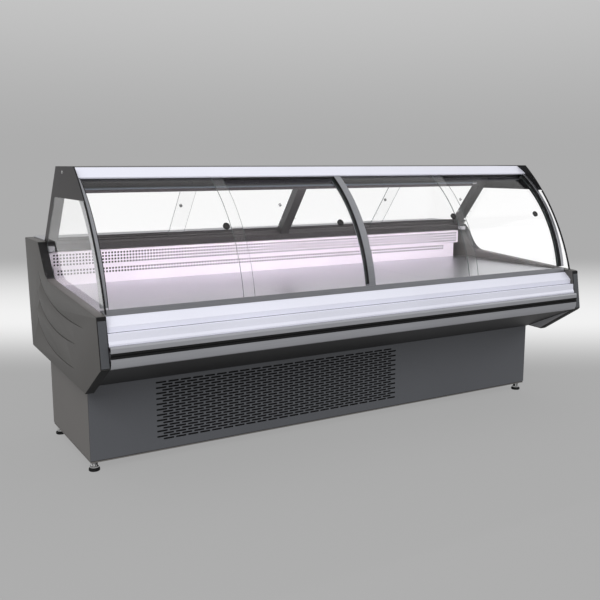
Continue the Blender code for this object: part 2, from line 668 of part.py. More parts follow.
def build_front_glass():
    floor_angle = TRACK_TOP + GROOVE_DEPTH / GLASS_ARC[1]
    base = TUB_FRONT_TOP + GAP
    track = [arc_point(-TRACK_LIP, TRACK_TOP)]
    track += groove_run(OUTER_PANE, TRACK_TOP, floor_angle) + groove_run(INNER_PANE, TRACK_TOP, floor_angle)
    track += [arc_point(TRACK_BACK, TRACK_TOP), arc_point(TRACK_BACK, arc_angle(base, TRACK_BACK)),
              arc_point(-TRACK_LIP, arc_angle(base, -TRACK_LIP))]
    dress(swept("front_track", track, -X_ROOF, X_ROOF), "aluminium")

    foot, head = TRACK_TOP - STEP, FASCIA_FOOT + STEP
    bar = arc_run(-TRACK_LIP, foot, head) + arc_run(TRIM_BACK, head, foot)
    dress(swept("front_mullion", bar, -MULLION_WIDTH / 2, MULLION_WIDTH / 2), "aluminium")
    for side, name in ((-1, "left"), (1, "right")):
        low, high = sorted((side * X_TRIM, side * X_ROOF))
        dress(swept("arc_trim_" + name, bar, low, high), "aluminium")

    pane_foot = floor_angle - 2 * STEP
    bay_low, bay_high = MULLION_WIDTH / 2 + TRACK_CLEARANCE, X_TRIM - TRACK_CLEARANCE
    width = (bay_high - bay_low + PANE_OVERLAP) / 2
    pull_angle = arc_angle(PULL_HEIGHT)
    bays = ((-bay_high, -bay_low), (bay_low, bay_high))
    number = 0
    for low, high in bays:
        for depth, x_low in ((OUTER_PANE, low), (INNER_PANE, high - width)):
            number += 1
            outline = arc_run(depth, pane_foot, PANE_HEAD) + arc_run(depth + GLASS, PANE_HEAD, pane_foot)
            centre = arc_point(depth + GLASS / 2, pull_angle)
            pane = swept("front_pane_%d" % number, outline, x_low, x_low + width, centre)
            seat = (x_low + width - PULL_EDGE, *centre)
            turn = (pull_angle - math.pi / 2, 0.0, 0.0)
            hole = cylinder("pull_hole_%d" % number, PULL_BORE + 2 * GAP, GLASS * 6, seat, turn, 24)
            combine(pane, as_cutter(hole))
            dress(pane, "glass")
            face = GLASS / 2 + 2 * GAP
            rim = face + PULL_FLANGE
            r = PULL_RADIUS
            profile = [(0.0, face - PULL_DISH), (r - 0.005, face - PULL_DISH), (r - 0.0035, rim),
                       (r, rim - 0.0008), (r, face), (PULL_BORE, face), (PULL_BORE, -face),
                       (r - 0.001, -face), (r - 0.001, -rim + 0.0006), (r - 0.002, -rim), (0.0, -rim)]
            turned("front_pull_%d" % number, profile, seat, turn, "rubber")


# ---------------------------------------------------------------- canopy
ROOF_FALL = 0.004             # roof's front edge below its rear edge
ROOF_LIP_GAP = 0.002          # hanging lip behind the inner pane's track
ROOF_LIP = 0.005              # its thickness
LAMP_UP = 0.028               # lamp's axis above the header's foot
LAMP_BASE = 0.004


def build_canopy():
    front_top = arc_point(GAP - 0.001, arc_angle(HEIGHT - ROOF_FALL, GAP - 0.001))
    under = HEIGHT - ROOF_FALL - CANOPY_SKIN
    lip = TRACK_BACK + ROOF_LIP_GAP
    lip_back = lip + ROOF_LIP
    groove = GROOVE_DEPTH
    inner_first = REAR_FIRST + GLASS + 2 * TRACK_CLEARANCE + TRACK_RIB
    roof = [front_top, (SLOPE_TOP.x, HEIGHT), slope_point(HEADER_LENGTH, 0.0)]
    for depth in (REAR_FIRST, inner_first):
        near, far = depth - TRACK_CLEARANCE, depth + GLASS + TRACK_CLEARANCE
        roof += [slope_point(HEADER_LENGTH, near), slope_point(HEADER_LENGTH - groove, near),
                 slope_point(HEADER_LENGTH - groove, far), slope_point(HEADER_LENGTH, far)]
    shelf = (under - slope_point(0.0, POST_DEPTH)[1]) / SLOPE_DOWN.y
    roof += [slope_point(HEADER_LENGTH, POST_DEPTH), slope_point(shelf, POST_DEPTH)]
    roof += [arc_point(lip_back, arc_angle(under, lip_back)), arc_point(lip_back, LIP_FOOT),
             arc_point(lip, LIP_FOOT), arc_point(lip, arc_angle(under, lip)), (front_top[0], under)]
    dress(swept("canopy_roof", roof, -X_ROOF, X_ROOF), "canopy_dark")

    skin = arc_run(FASCIA_FACE, FASCIA_FOOT, FASCIA_HEAD, 6) + arc_run(-0.001, FASCIA_HEAD, FASCIA_FOOT, 6)
    dress(swept("canopy_fascia", skin, -X_ROOF, X_ROOF), "white_steel")

    side_low = HEIGHT - CANOPY_DROP
    heel = (HEIGHT - side_low) / -SLOPE_DOWN.y
    side_panel = outline_run(side_low, HEIGHT, 12) + [(SLOPE_TOP.x, HEIGHT), slope_point(heel, 0.0)]
    for side, name in ((-1, "left"), (1, "right")):
        low, high = sorted((side * (X_FIT - CANOPY_SIDE), side * X_FIT))
        dress(swept("canopy_side_" + name, side_panel, low, high), "canopy_dark")

    lamp_at = HEADER_LENGTH - LAMP_UP
    back = POST_DEPTH + GAP
    base = back + LAMP_BASE
    profile = [slope_point(lamp_at + LAMP_RADIUS, back), slope_point(lamp_at + LAMP_RADIUS, base)]
    for i in range(1, 10):
        turn = math.pi * i / 10
        out = base + LAMP_RADIUS * math.sin(turn)
        profile.append(slope_point(lamp_at + LAMP_RADIUS * math.cos(turn), out))
    profile += [slope_point(lamp_at - LAMP_RADIUS, base), slope_point(lamp_at - LAMP_RADIUS, back)]
    reach = X_ROOF - LAMP_END_GAP
    dress(swept("canopy_lamp", profile, -reach, reach), "lamp_cover")


# ---------------------------------------------------------------- end glass, rear posts, sill and panes
END_GLASS_X = X_FIT - END_GLASS
END_GLASS_LIFT = 0.0025       # its front corner above the foot of the front glass
END_GLASS_TUCK = 0.012        # how far it reaches below the end panel's top


def build_rear():
    inner_first = REAR_FIRST + GLASS + 2 * TRACK_CLEARANCE + TRACK_RIB
    sill_foot = DUCT_TOP + SHEET
    sill = [slope_point(SILL_AT, 0.0)]
    for depth in (REAR_FIRST, inner_first):
        near, far = depth - TRACK_CLEARANCE, depth + GLASS + TRACK_CLEARANCE
        sill += [slope_point(SILL_AT, near), slope_point(SILL_AT + GROOVE_DEPTH, near),
                 slope_point(SILL_AT + GROOVE_DEPTH, far), slope_point(SILL_AT, far)]
    corner = slope_point(SILL_AT, POST_DEPTH)
    sill += [corner, (corner[0], sill_foot), (TUB_INNER_REAR - GAP, sill_foot),
             (TUB_INNER_REAR - GAP, WORKTOP_BOTTOM - GAP), (SILL_FACE, WORKTOP_BOTTOM - GAP),
             (SILL_FACE, COUNTER_HEIGHT + WORKTOP_PROUD)]
    dress(swept("rear_sill", sill, -X_FIT, X_FIT), "canopy_dark")

    head, foot = HEADER_LENGTH + GAP, SILL_AT - GAP
    post = [slope_point(head, 0.0), slope_point(foot, 0.0), slope_point(foot, POST_DEPTH),
            slope_point(head, POST_DEPTH)]
    places = (("left", -X_FIT, -X_FIT + POST_WIDTH), ("middle", -POST_WIDTH / 2, POST_WIDTH / 2),
              ("right", X_FIT - POST_WIDTH, X_FIT))
    notch_low = HEIGHT - CANOPY_DROP - GAP
    for name, low, high in places:
        bar = swept("rear_post_" + name, post, low, high)
        if name != "middle":
            edge = X_ROOF if name == "right" else -X_FIT - 0.01
            far = X_FIT + 0.01 if name == "right" else -X_ROOF
            near = (edge, SLOPE_TOP.x - POST_DEPTH * 2, notch_low)
            notch = blocks("post_notch_" + name, [(near, (far, Y_REAR, HEIGHT * 1.1))])
            combine(bar, as_cutter(notch))
        dress(bar, "canopy_dark")

    head, foot = HEADER_LENGTH - GROOVE_DEPTH + 0.0015, SILL_AT + GROOVE_DEPTH - 2 * GAP
    bay_low, bay_high = POST_WIDTH / 2 + TRACK_CLEARANCE, X_FIT - POST_WIDTH - TRACK_CLEARANCE
    width = (bay_high - bay_low + REAR_OVERLAP) / 2
    number = 0
    for low, high in ((-bay_high, -bay_low), (bay_low, bay_high)):
        for depth, x_low in ((REAR_FIRST, low), (inner_first, high - width)):
            number += 1
            outline = [slope_point(head, depth), slope_point(foot, depth), slope_point(foot, depth + GLASS),
                       slope_point(head, depth + GLASS)]
            centre = slope_point((head + foot) / 2, depth + GLASS / 2)
            dress(swept("rear_pane_%d" % number, outline, x_low, x_low + width, centre), "glass")

    edge = POST_DEPTH + GAP
    top = HEIGHT - CANOPY_DROP - GAP
    ledge_y = corner[0] - GAP
    tuck = END_GLASS_TUCK
    swoop = [(y, z - tuck) for y, z in panel_outline() if y < ledge_y and z > FRONT_HEIGHT - 0.001]
    rear_head = (slope_point(0.0, edge)[1] - top) / -SLOPE_DOWN.y
    sheet = [slope_point(rear_head, edge), slope_point(SILL_AT, edge), (ledge_y, COUNTER_HEIGHT - 0.030)]
    base = TUB_FRONT_TOP + 2 * GAP
    sheet += [(y, z) for y, z in swoop if y > Y_FRONT + 0.12 and z > base and y < ledge_y - 0.01]
    corner_y = arc_point(-TRACK_LIP, TRACK_TOP)[0]
    sheet += [(corner_y, base), (corner_y, FRONT_HEIGHT + END_GLASS_LIFT)]
    sheet += outline_run(FRONT_HEIGHT + END_GLASS_LIFT, top, 14)
    for side, name in ((-1, "left"), (1, "right")):
        low, high = sorted((side * END_GLASS_X, side * (END_GLASS_X + END_GLASS)))
        dress(swept("end_glass_" + name, sheet, low, high), "glass")


# ---------------------------------------------------------------- air duct, deck and evaporator
DUCT_END = 0.042              # upper duct panel's end from the end panel
DUCT_LOWER_END = 0.080
DUCT_LEDGE = 0.070            # how far the upper panel's top folds back
DUCT_SKIN = 0.0025
DUCT_RETURN = 0.022           # how far the lower panel's foot folds forward
DECK_BEARING = 0.012          # how far the deck plates lie on the tub's front wall
DECK_END = 0.010              # deck plates from the end panels
DECK_SEAM = 0.0005            # half of the seam between two plates
HOLE_MARGIN = 0.020           # holes from a duct panel's ends


def build_display():
    y, top, split = DUCT_Y, DUCT_TOP, DUCT_SPLIT
    skin = DUCT_SKIN
    back = y + DUCT_LEDGE
    upper = [(y, split), (y, top), (back, top), (back, top - skin), (y + skin, top - skin),
             (y + skin, split)]
    reach = X_IN - DUCT_END
    panel = swept("duct_upper", upper, -reach, reach)
    edge = reach - HOLE_MARGIN
    holes = brick_slots(-edge, edge, split + 0.012, top - 0.018, 2, 20, y - 0.01, y + 0.01)
    combine(panel, as_cutter(blocks("upper_holes", holes)))
    dress(panel, "duct_steel")

    y_low = y - DUCT_STEP
    ledge = TUB_FRONT_TOP
    toe = y_low - DUCT_RETURN
    lower = [(y_low, split - GAP), (y_low, ledge), (toe, ledge), (toe, ledge - skin),
             (y_low + skin, ledge - skin), (y_low + skin, split - GAP)]
    reach_low = X_IN - DUCT_LOWER_END
    lip = swept("duct_lower", lower, -reach_low, reach_low)
    edge = reach_low - HOLE_MARGIN
    holes = brick_slots(-edge, edge, split - 0.040, split - 0.010, 1, 20, y_low - 0.01, y_low + 0.01)
    combine(lip, as_cutter(blocks("lower_holes", holes)))
    dress(lip, "duct_steel")

    front = TUB_INNER_FRONT - DECK_BEARING
    rear = y_low - GAP
    high, low = DECK_HEIGHT, DECK_HEIGHT - DECK_SKIRT
    plate = [(front, low), (front, high), (rear, high), (rear, low), (rear - skin, low),
             (rear - skin, high - skin), (front + skin, high - skin), (front + skin, low)]
    span = 2 * (X_FIT - DECK_END)
    width = span / DECK_COUNT
    names = ("left", "middle", "right")
    for index in range(DECK_COUNT):
        start = -span / 2 + width * index
        low, high = start + DECK_SEAM, start + width - DECK_SEAM
        dress(swept("deck_plate_" + names[index], plate, low, high), "stainless")


EVAPORATOR_X = 0.850
EVAPORATOR_FRONT = 0.010
FAN_PLATE_GAP = 0.040         # fan plate in front of the coil
FAN_PLATE_HEIGHT = 0.165
EVAPORATOR_DEPTH = 0.160
EVAPORATOR_HEIGHT = 0.130
CHILL_FAN_X = 0.420


def build_evaporator():
    floor = TUB_INNER_FLOOR + GAP
    front = EVAPORATOR_FRONT
    reach = EVAPORATOR_X
    high = (reach, front + EVAPORATOR_DEPTH, floor + EVAPORATOR_HEIGHT)
    finned_block("evaporator_coil", (-reach, front, floor), high, 24)

    plate_y = front - FAN_PLATE_GAP
    middle = floor + FAN_PLATE_HEIGHT / 2
    plate = blocks("evaporator_fan_plate",
                   [((-reach, plate_y, floor), (reach, plate_y + SHEET, floor + FAN_PLATE_HEIGHT))])
    places = (("left", -CHILL_FAN_X), ("right", CHILL_FAN_X))
    for name, x in places:
        seat = (x, plate_y + SHEET / 2, middle)
        mouth = cylinder("fan_mouth_" + name, CHILL_FAN_RADIUS + FAN_CLEARANCE, 10 * SHEET, seat,
                         (math.pi / 2, 0.0, 0.0), 28)
        combine(plate, as_cutter(mouth))
        fan("evaporator_fan_" + name, seat, 0.017, CHILL_FAN_RADIUS, 0.018)
    dress(plate, "duct_steel")


# ---------------------------------------------------------------- staff-side control
CONTROL_X = 0.820
CONTROL_WIDTH = 0.140
CONTROL_HEIGHT = 0.064
CONTROL_DEPTH = 0.022
ROCKER_WIDTH = 0.016
ROCKER_HEIGHT = 0.022
ROCKER_DEPTH = 0.010
ROCKER_CLEARANCE = 0.0012


def build_control():
    base = PLINTH_REAR + GAP
    middle = PLINTH_TOP - 0.045
    face = base + CONTROL_DEPTH
    low = (CONTROL_X, base, middle - CONTROL_HEIGHT / 2)
    high = (CONTROL_X + CONTROL_WIDTH, face, middle + CONTROL_HEIGHT / 2)
    housing = blocks("controller", [(low, high)])
    x = CONTROL_X + CONTROL_WIDTH - 0.028
    half = ROCKER_WIDTH / 2 + ROCKER_CLEARANCE
    tall = ROCKER_HEIGHT / 2 + ROCKER_CLEARANCE
    near = (x - half, face - ROCKER_DEPTH - 0.004, middle - tall)
    pocket = (near, (x + half, face + 0.01, middle + tall))
    combine(housing, as_cutter(blocks("rocker_pocket", [pocket])))
    dress(housing, "fan_plastic")
    pivot = (x, face - ROCKER_DEPTH / 2 + 0.002, middle)
    rocker = blocks("light_switch", [((-ROCKER_WIDTH / 2, -ROCKER_DEPTH / 2, -ROCKER_HEIGHT / 2),
                                      (ROCKER_WIDTH / 2, ROCKER_DEPTH / 2, ROCKER_HEIGHT / 2))], pivot)
    dress(rocker, "rubber")


build_plinth()
build_condensing_unit()
build_tub()
build_end_panels()
build_front()
build_front_glass()
build_canopy()
build_rear()
build_display()
build_evaporator()
build_control()
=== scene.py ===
"""Serve-over refrigerated deli case: panels, glass, seals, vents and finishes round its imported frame."""
import json
import math

import bmesh
import bpy
from bpy.props import FloatProperty, FloatVectorProperty, IntProperty, PointerProperty
from mathutils import Matrix, Vector

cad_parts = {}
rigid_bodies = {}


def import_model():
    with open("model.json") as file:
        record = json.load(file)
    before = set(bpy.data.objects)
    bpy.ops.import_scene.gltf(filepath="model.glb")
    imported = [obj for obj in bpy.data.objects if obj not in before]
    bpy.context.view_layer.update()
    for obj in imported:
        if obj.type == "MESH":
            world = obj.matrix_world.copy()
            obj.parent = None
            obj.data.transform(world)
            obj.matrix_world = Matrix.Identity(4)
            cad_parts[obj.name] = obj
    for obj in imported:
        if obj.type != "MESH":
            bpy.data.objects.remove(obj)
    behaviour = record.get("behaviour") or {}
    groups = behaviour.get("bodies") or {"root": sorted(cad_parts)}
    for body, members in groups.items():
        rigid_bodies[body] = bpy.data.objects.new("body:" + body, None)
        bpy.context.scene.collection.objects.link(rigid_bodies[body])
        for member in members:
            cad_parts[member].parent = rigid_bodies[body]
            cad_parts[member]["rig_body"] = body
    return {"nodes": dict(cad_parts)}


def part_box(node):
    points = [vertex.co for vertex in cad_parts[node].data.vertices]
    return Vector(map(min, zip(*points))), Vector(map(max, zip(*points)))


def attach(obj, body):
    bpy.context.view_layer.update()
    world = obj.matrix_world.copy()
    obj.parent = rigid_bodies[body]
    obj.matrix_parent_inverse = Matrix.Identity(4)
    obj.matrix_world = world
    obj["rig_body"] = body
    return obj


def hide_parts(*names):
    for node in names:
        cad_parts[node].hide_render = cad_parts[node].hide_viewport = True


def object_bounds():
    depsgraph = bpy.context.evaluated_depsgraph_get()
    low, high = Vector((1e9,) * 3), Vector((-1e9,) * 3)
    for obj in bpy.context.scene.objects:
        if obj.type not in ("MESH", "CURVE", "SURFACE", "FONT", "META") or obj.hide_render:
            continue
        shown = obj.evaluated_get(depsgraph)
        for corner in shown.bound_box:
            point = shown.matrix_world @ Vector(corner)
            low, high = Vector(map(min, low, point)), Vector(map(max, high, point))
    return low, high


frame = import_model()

bl_info = {
    "name": "Refrigerated Deli Case",
    "version": (1, 0, 0),
    "blender": (4, 5, 0),
    "location": "3D View > Sidebar > Deli Case",
    "description": "Builds the panels, glass, seals and vents of a serve-over refrigerated deli case",
    "category": "Object",
}

CAD_LOW, CAD_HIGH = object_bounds()
CABINET = "cabinet"
SIDES = ((-1, "left"), (1, "right"))
MM = 0.001


# ---------------------------------------------------------------- sizes and colours
def linear(code):
    """An sRGB hex colour as linear red, green, blue and alpha."""
    values = [int(code[i:i + 2], 16) / 255 for i in (0, 2, 4)]
    return (*[v / 12.92 if v <= 0.04045 else ((v + 0.055) / 1.055) ** 2.4 for v in values], 1.0)


def size(name, description, default, low=0.0):
    """A length in metres for the sidebar."""
    return FloatProperty(name=name, description=description, default=default, min=low, precision=4,
                         unit="LENGTH")


def colour(name, description, code):
    """A colour for the sidebar."""
    return FloatVectorProperty(name=name, description=description, default=linear(code), size=4,
                               min=0.0, max=1.0, subtype="COLOR")


class DeliCaseSizes(bpy.types.PropertyGroup):
    """Sizes of the case's fine parts"""

    slot_pitch: size("Slot Pitch", "From one grille slot to the next along a row", 0.05586)
    slot_length: size("Slot Length", "Length of one grille slot", 0.0470)
    slot_height: size("Slot Height", "Height of one grille slot", 0.0073)
    slot_rise: size("Row Rise", "From one row of slots to the next", 0.01181)
    slot_columns: IntProperty(name="Slots", description="Slots in one row", default=22, min=1)
    slot_rows: IntProperty(name="Rows", description="Rows of slots in the front grille", default=22, min=1)
    grille_inset: size("Grille Inset", "First slot from the plinth's left side", 0.286)
    grille_rise: size("Grille Rise", "Lowest slot above the plinth's lower edge", 0.047)
    hole_pitch: size("Hole Pitch", "From one air hole to the next", 0.0145)
    hole_width: size("Hole Width", "Side of one square air hole", 0.0083)
    fold_rise: size("Fold Rise", "Height of the folded edge along the plinth's foot", 0.0085)
    glass_rise: size("Glass Rise", "How far the curved glass stands off its chord", 0.0786)
    glass_foot: size("Glass Foot", "Bumper face to the foot of the curved glass", 0.0906)
    glass_foot_height: size("Glass Foot Height", "Floor to the foot of the curved glass", 0.700)
    glass_head: size("Glass Head", "Bumper face to the head of the curved glass", 0.4658)
    glass_head_drop: size("Glass Head Drop", "Head of the curved glass below the top", 0.003)
    outline_rise: size("Outline Rise", "How far the end glass's outline stands off its chord", 0.047)
    outline_foot: size("Outline Foot", "Bumper face to the foot of the outline", 0.061)
    outline_head: size("Outline Head", "Bumper face to the head of the outline", 0.402)
    outline_proud: size("Outline Proud", "End glass's front edge outside the outline", 0.010)
    edge_seal: size("Edge Seal", "Depth of the black seal on the end glass's front edge", 0.006)
    flute_width: size("Flute Width", "Width of the end panel's moulded flutes", 0.010)
    flute_depth: size("Flute Depth", "Depth of the end panel's moulded flutes", 0.009)
    nose_setback: size("Nose Setback", "Bumper face to the top of the end panels' nose", 0.038)
    lip_setback: size("Lip Setback", "Bumper face to the foot of the nose", 0.008)
    lip_height: size("Lip Height", "Floor to the foot of the nose", 0.507)
    chin_setback: size("Chin Setback", "Bumper face to the end panels' chin", 0.2315)
    chin_height: size("Chin Height", "Floor to the end panels' chin", 0.366)
    step_height: size("Step Height", "Floor to the step in the white fascia", 0.6338)
    pad_height: size("Pad Height", "Height of the levelling feet's pads", 0.0125)
    edge_radius: size("Edge Radius", "Rounding of the moulded end panels", 0.004)
    seal_width: size("Seal Width", "Width of the black seal on the trims' inner side", 0.0028)
    # The dark sheet behind a grille is painted shade, so its slots read dark.
    shade_sheet_gap: size("Backing Gap", "From a sheet with holes to the dark sheet behind it", 0.002)
    pull_radius: size("Pull Radius", "Radius of the front panes' round pulls", 0.0150)


class DeliCaseColours(bpy.types.PropertyGroup):
    """Colours of the case's finishes"""

    end_abs: colour("End Panels", "Moulded end panels", "545250")
    end_nose: colour("End Panel Nose", "Strip on the front of the end panels", "4c4e52")
    end_plate: colour("End Plate", "Plates under the case's ends", "b2b2b6")
    front_steel: colour("Plinth Front", "Plinth's front panel", "5a5c61")
    side_steel: colour("Plinth Sides", "Plinth's sides and rear, and the staff-side panel", "6e6b69")
    white_steel: colour("White Fascia", "Stepped fascia and canopy front", "ebecf9")
    duct_steel: colour("Air Duct", "Perforated air duct and liner", "f2e9f4")
    aluminium: colour("Aluminium", "Bumper rail, glass track, trims and mullion", "9a9ba0")
    rail: colour("Bumper Rail", "Bumper rail's satin face", "a2a3a8")
    rubber: colour("Rubber", "Seals, bumper strip and pads", "0e0e0f")
    black_steel: colour("Black Steel", "Underside and inner sheet steel", "1a1a1b")
    stainless: colour("Stainless Steel", "Worktop and deck plates", "c9cacf")
    canopy_dark: colour("Canopy", "Canopy, sill and rear posts", "221e20")
    glass: colour("Glass", "Panes and end glasses", "ffffff")
    glass_edge: colour("Glass Edge", "Ground edges of the panes", "4e5a58")
    lamp_cover: colour("Lamp Cover", "Frosted lamp tube", "8f9aaa")
    chrome: colour("Chrome", "Feet, bolts and small pulls", "cfcfcf")
    fins: colour("Coil Fins", "Aluminium fins of both coils", "939498")
    display: colour("Display", "Digits of the controller", "ff4a2a")


class DeliCaseStudio(bpy.types.PropertyGroup):
    """Camera, lights and floor"""

    camera_place: FloatVectorProperty(name="Camera Place", description="Where the camera stands",
                                      default=(-2.059, -3.349, 1.247), subtype="XYZ", unit="LENGTH")
    camera_turn: FloatProperty(name="Camera Turn", description="Heading, from straight at the front",
                               default=math.radians(30.51), subtype="ANGLE")
    camera_tilt: FloatProperty(name="Camera Tilt", description="How far the camera looks down",
                               default=math.radians(9.694), subtype="ANGLE")
    camera_lens: FloatProperty(name="Lens", description="Focal length, in millimetres", default=48.38)
    key_power: FloatProperty(name="Key Power", description="Large soft light at the front left, in watts",
                             default=138.0)
    fill_power: FloatProperty(name="Fill Power", description="Large soft light at the right, in watts",
                              default=26.0)
    lamp_power: FloatProperty(name="Lamp Power", description="Light under the canopy, in watts",
                              default=8.5)
    sky: FloatProperty(name="Overhead Light", description="Strength of the light from above", default=0.80)
    floor: colour("Floor", "Floor round the case", "aeaeae")
    # A pool of light painted on the floor behind the case.
    pool: colour("Light Pool", "Brightest ring of the floor, behind the case", "f2f2f2")
    backdrop: colour("Backdrop", "Lower part of the backdrop", "adadad")
    ceiling: colour("Backdrop Top", "Upper part of the backdrop", "c8c8c8")


def sizes():
    """The sizes in the sidebar."""
    return bpy.context.scene.deli_case_sizes


def colours():
    """The colours in the sidebar."""
    return bpy.context.scene.deli_case_colours


# ---------------------------------------------------------------- material tools
def add(tree, kind, inputs=None, **settings):
    """Adds one node. Its inputs are values, or (node, output) pairs that are linked."""
    node = tree.nodes.new(kind)
    for key, value in settings.items():
        setattr(node, key, value)
    for key, value in (inputs or {}).items():
        if isinstance(value, tuple) and isinstance(value[0], bpy.types.Node):
            tree.links.new(value[0].outputs[value[1]], node.inputs[key])
        else:
            node.inputs[key].default_value = value
    return node


def new_material(name, values):
    """A material with one Principled shader, whose plain values are set on its own sockets."""
    material = bpy.data.materials.new(name)
    material.use_nodes = True
    tree = material.node_tree
    tree.nodes.clear()
    shader = add(tree, "ShaderNodeBsdfPrincipled", values)
    add(tree, "ShaderNodeOutputMaterial", {"Surface": (shader, "BSDF")})
    if "Base Color" in values:
        material.diffuse_color = values["Base Color"]
    return material, tree, shader


def shaded(base, share):
    """A colour made lighter or darker by a share of itself."""
    return (*[min(1.0, max(0.0, c * share)) for c in base[:3]], 1.0)


def grained(name, base, roughness, grain, mottle, bump, metallic=0.0, specular=0.5, stretch=(1, 1, 1),
            drift=0.35):
    """A surface with a fine grain: grain is its spacing in metres, mottle how much its colour varies."""
    values = {"Base Color": base, "Metallic": metallic, "Roughness": roughness,
              "Specular IOR Level": specular}
    material, tree, shader = new_material(name, values)
    place = add(tree, "ShaderNodeTexCoord")
    lie = add(tree, "ShaderNodeMapping", {"Vector": (place, "Object"), "Scale": stretch})
    fine = add(tree, "ShaderNodeTexNoise", {"Vector": (lie, "Vector"), "Scale": 1 / grain, "Detail": 2.0,
                                            "Roughness": 0.6})
    broad = add(tree, "ShaderNodeTexNoise", {"Vector": (place, "Object"), "Scale": 1 / drift,
                                             "Detail": 1.0})
    speck = add(tree, "ShaderNodeMapRange", {"Value": (fine, "Fac"), "From Min": 0.3, "From Max": 0.7})
    tint = add(tree, "ShaderNodeMix", {0: (speck, "Result"), 6: shaded(base, 1 - mottle),
                                       7: shaded(base, 1 + mottle)}, data_type="RGBA")
    drifted = add(tree, "ShaderNodeMix", {0: (broad, "Fac"), 6: (0.94, 0.94, 0.94, 1.0),
                                          7: (1.06, 1.06, 1.06, 1.0)}, data_type="RGBA")
    mixed = add(tree, "ShaderNodeMix", {0: 1.0, 6: (tint, 2), 7: (drifted, 2)}, data_type="RGBA",
                blend_type="MULTIPLY")
    tree.links.new(mixed.outputs[2], shader.inputs["Base Color"])
    worn = add(tree, "ShaderNodeMapRange", {"Value": (fine, "Fac"), "To Min": roughness * 0.88,
                                            "To Max": min(1.0, roughness * 1.12)})
    tree.links.new(worn.outputs["Result"], shader.inputs["Roughness"])
    if bump:
        relief = add(tree, "ShaderNodeBump", {"Height": (fine, "Fac"), "Strength": 1.0,
                                              "Distance": bump})
        tree.links.new(relief.outputs["Normal"], shader.inputs["Normal"])
    return material


def clear_glass():
    """Toughened float glass. It shows what is behind it, and a soft sky reflection at a slant."""
    values = {"Base Color": colours().glass, "Roughness": 0.0, "IOR": 1.30, "Transmission Weight": 1.0}
    material, tree, shader = new_material("toughened_glass", values)
    place = add(tree, "ShaderNodeTexCoord")
    wave = add(tree, "ShaderNodeTexNoise", {"Vector": (place, "Object"), "Scale": 1 / 0.15, "Detail": 0.0})
    relief = add(tree, "ShaderNodeBump", {"Height": (wave, "Fac"), "Strength": 0.15, "Distance": 0.5 * MM})
    tree.links.new(relief.outputs["Normal"], shader.inputs["Normal"])
    return material


def lamp_tube():
    """Frosted polycarbonate over the lamp. Cool and evenly lit, never a bare light source."""
    base = colours().lamp_cover
    values = {"Base Color": base, "Roughness": 0.35, "Emission Color": base, "Emission Strength": 0.05}
    material, tree, shader = new_material("frosted_lamp_cover", values)
    place = add(tree, "ShaderNodeTexCoord")
    frost = add(tree, "ShaderNodeTexNoise", {"Vector": (place, "Object"), "Scale": 1 / (6 * MM)})
    tint = add(tree, "ShaderNodeMix", {0: (frost, "Fac"), 6: shaded(base, 0.92), 7: shaded(base, 1.06)},
               data_type="RGBA")
    tree.links.new(tint.outputs[2], shader.inputs["Base Color"])
    return material


def glowing_digits():
    """Red segments behind the controller's smoked window."""
    base = colours().display
    values = {"Base Color": base, "Roughness": 0.4, "Emission Color": base, "Emission Strength": 1.5}
    return new_material("display_segments", values)[0]


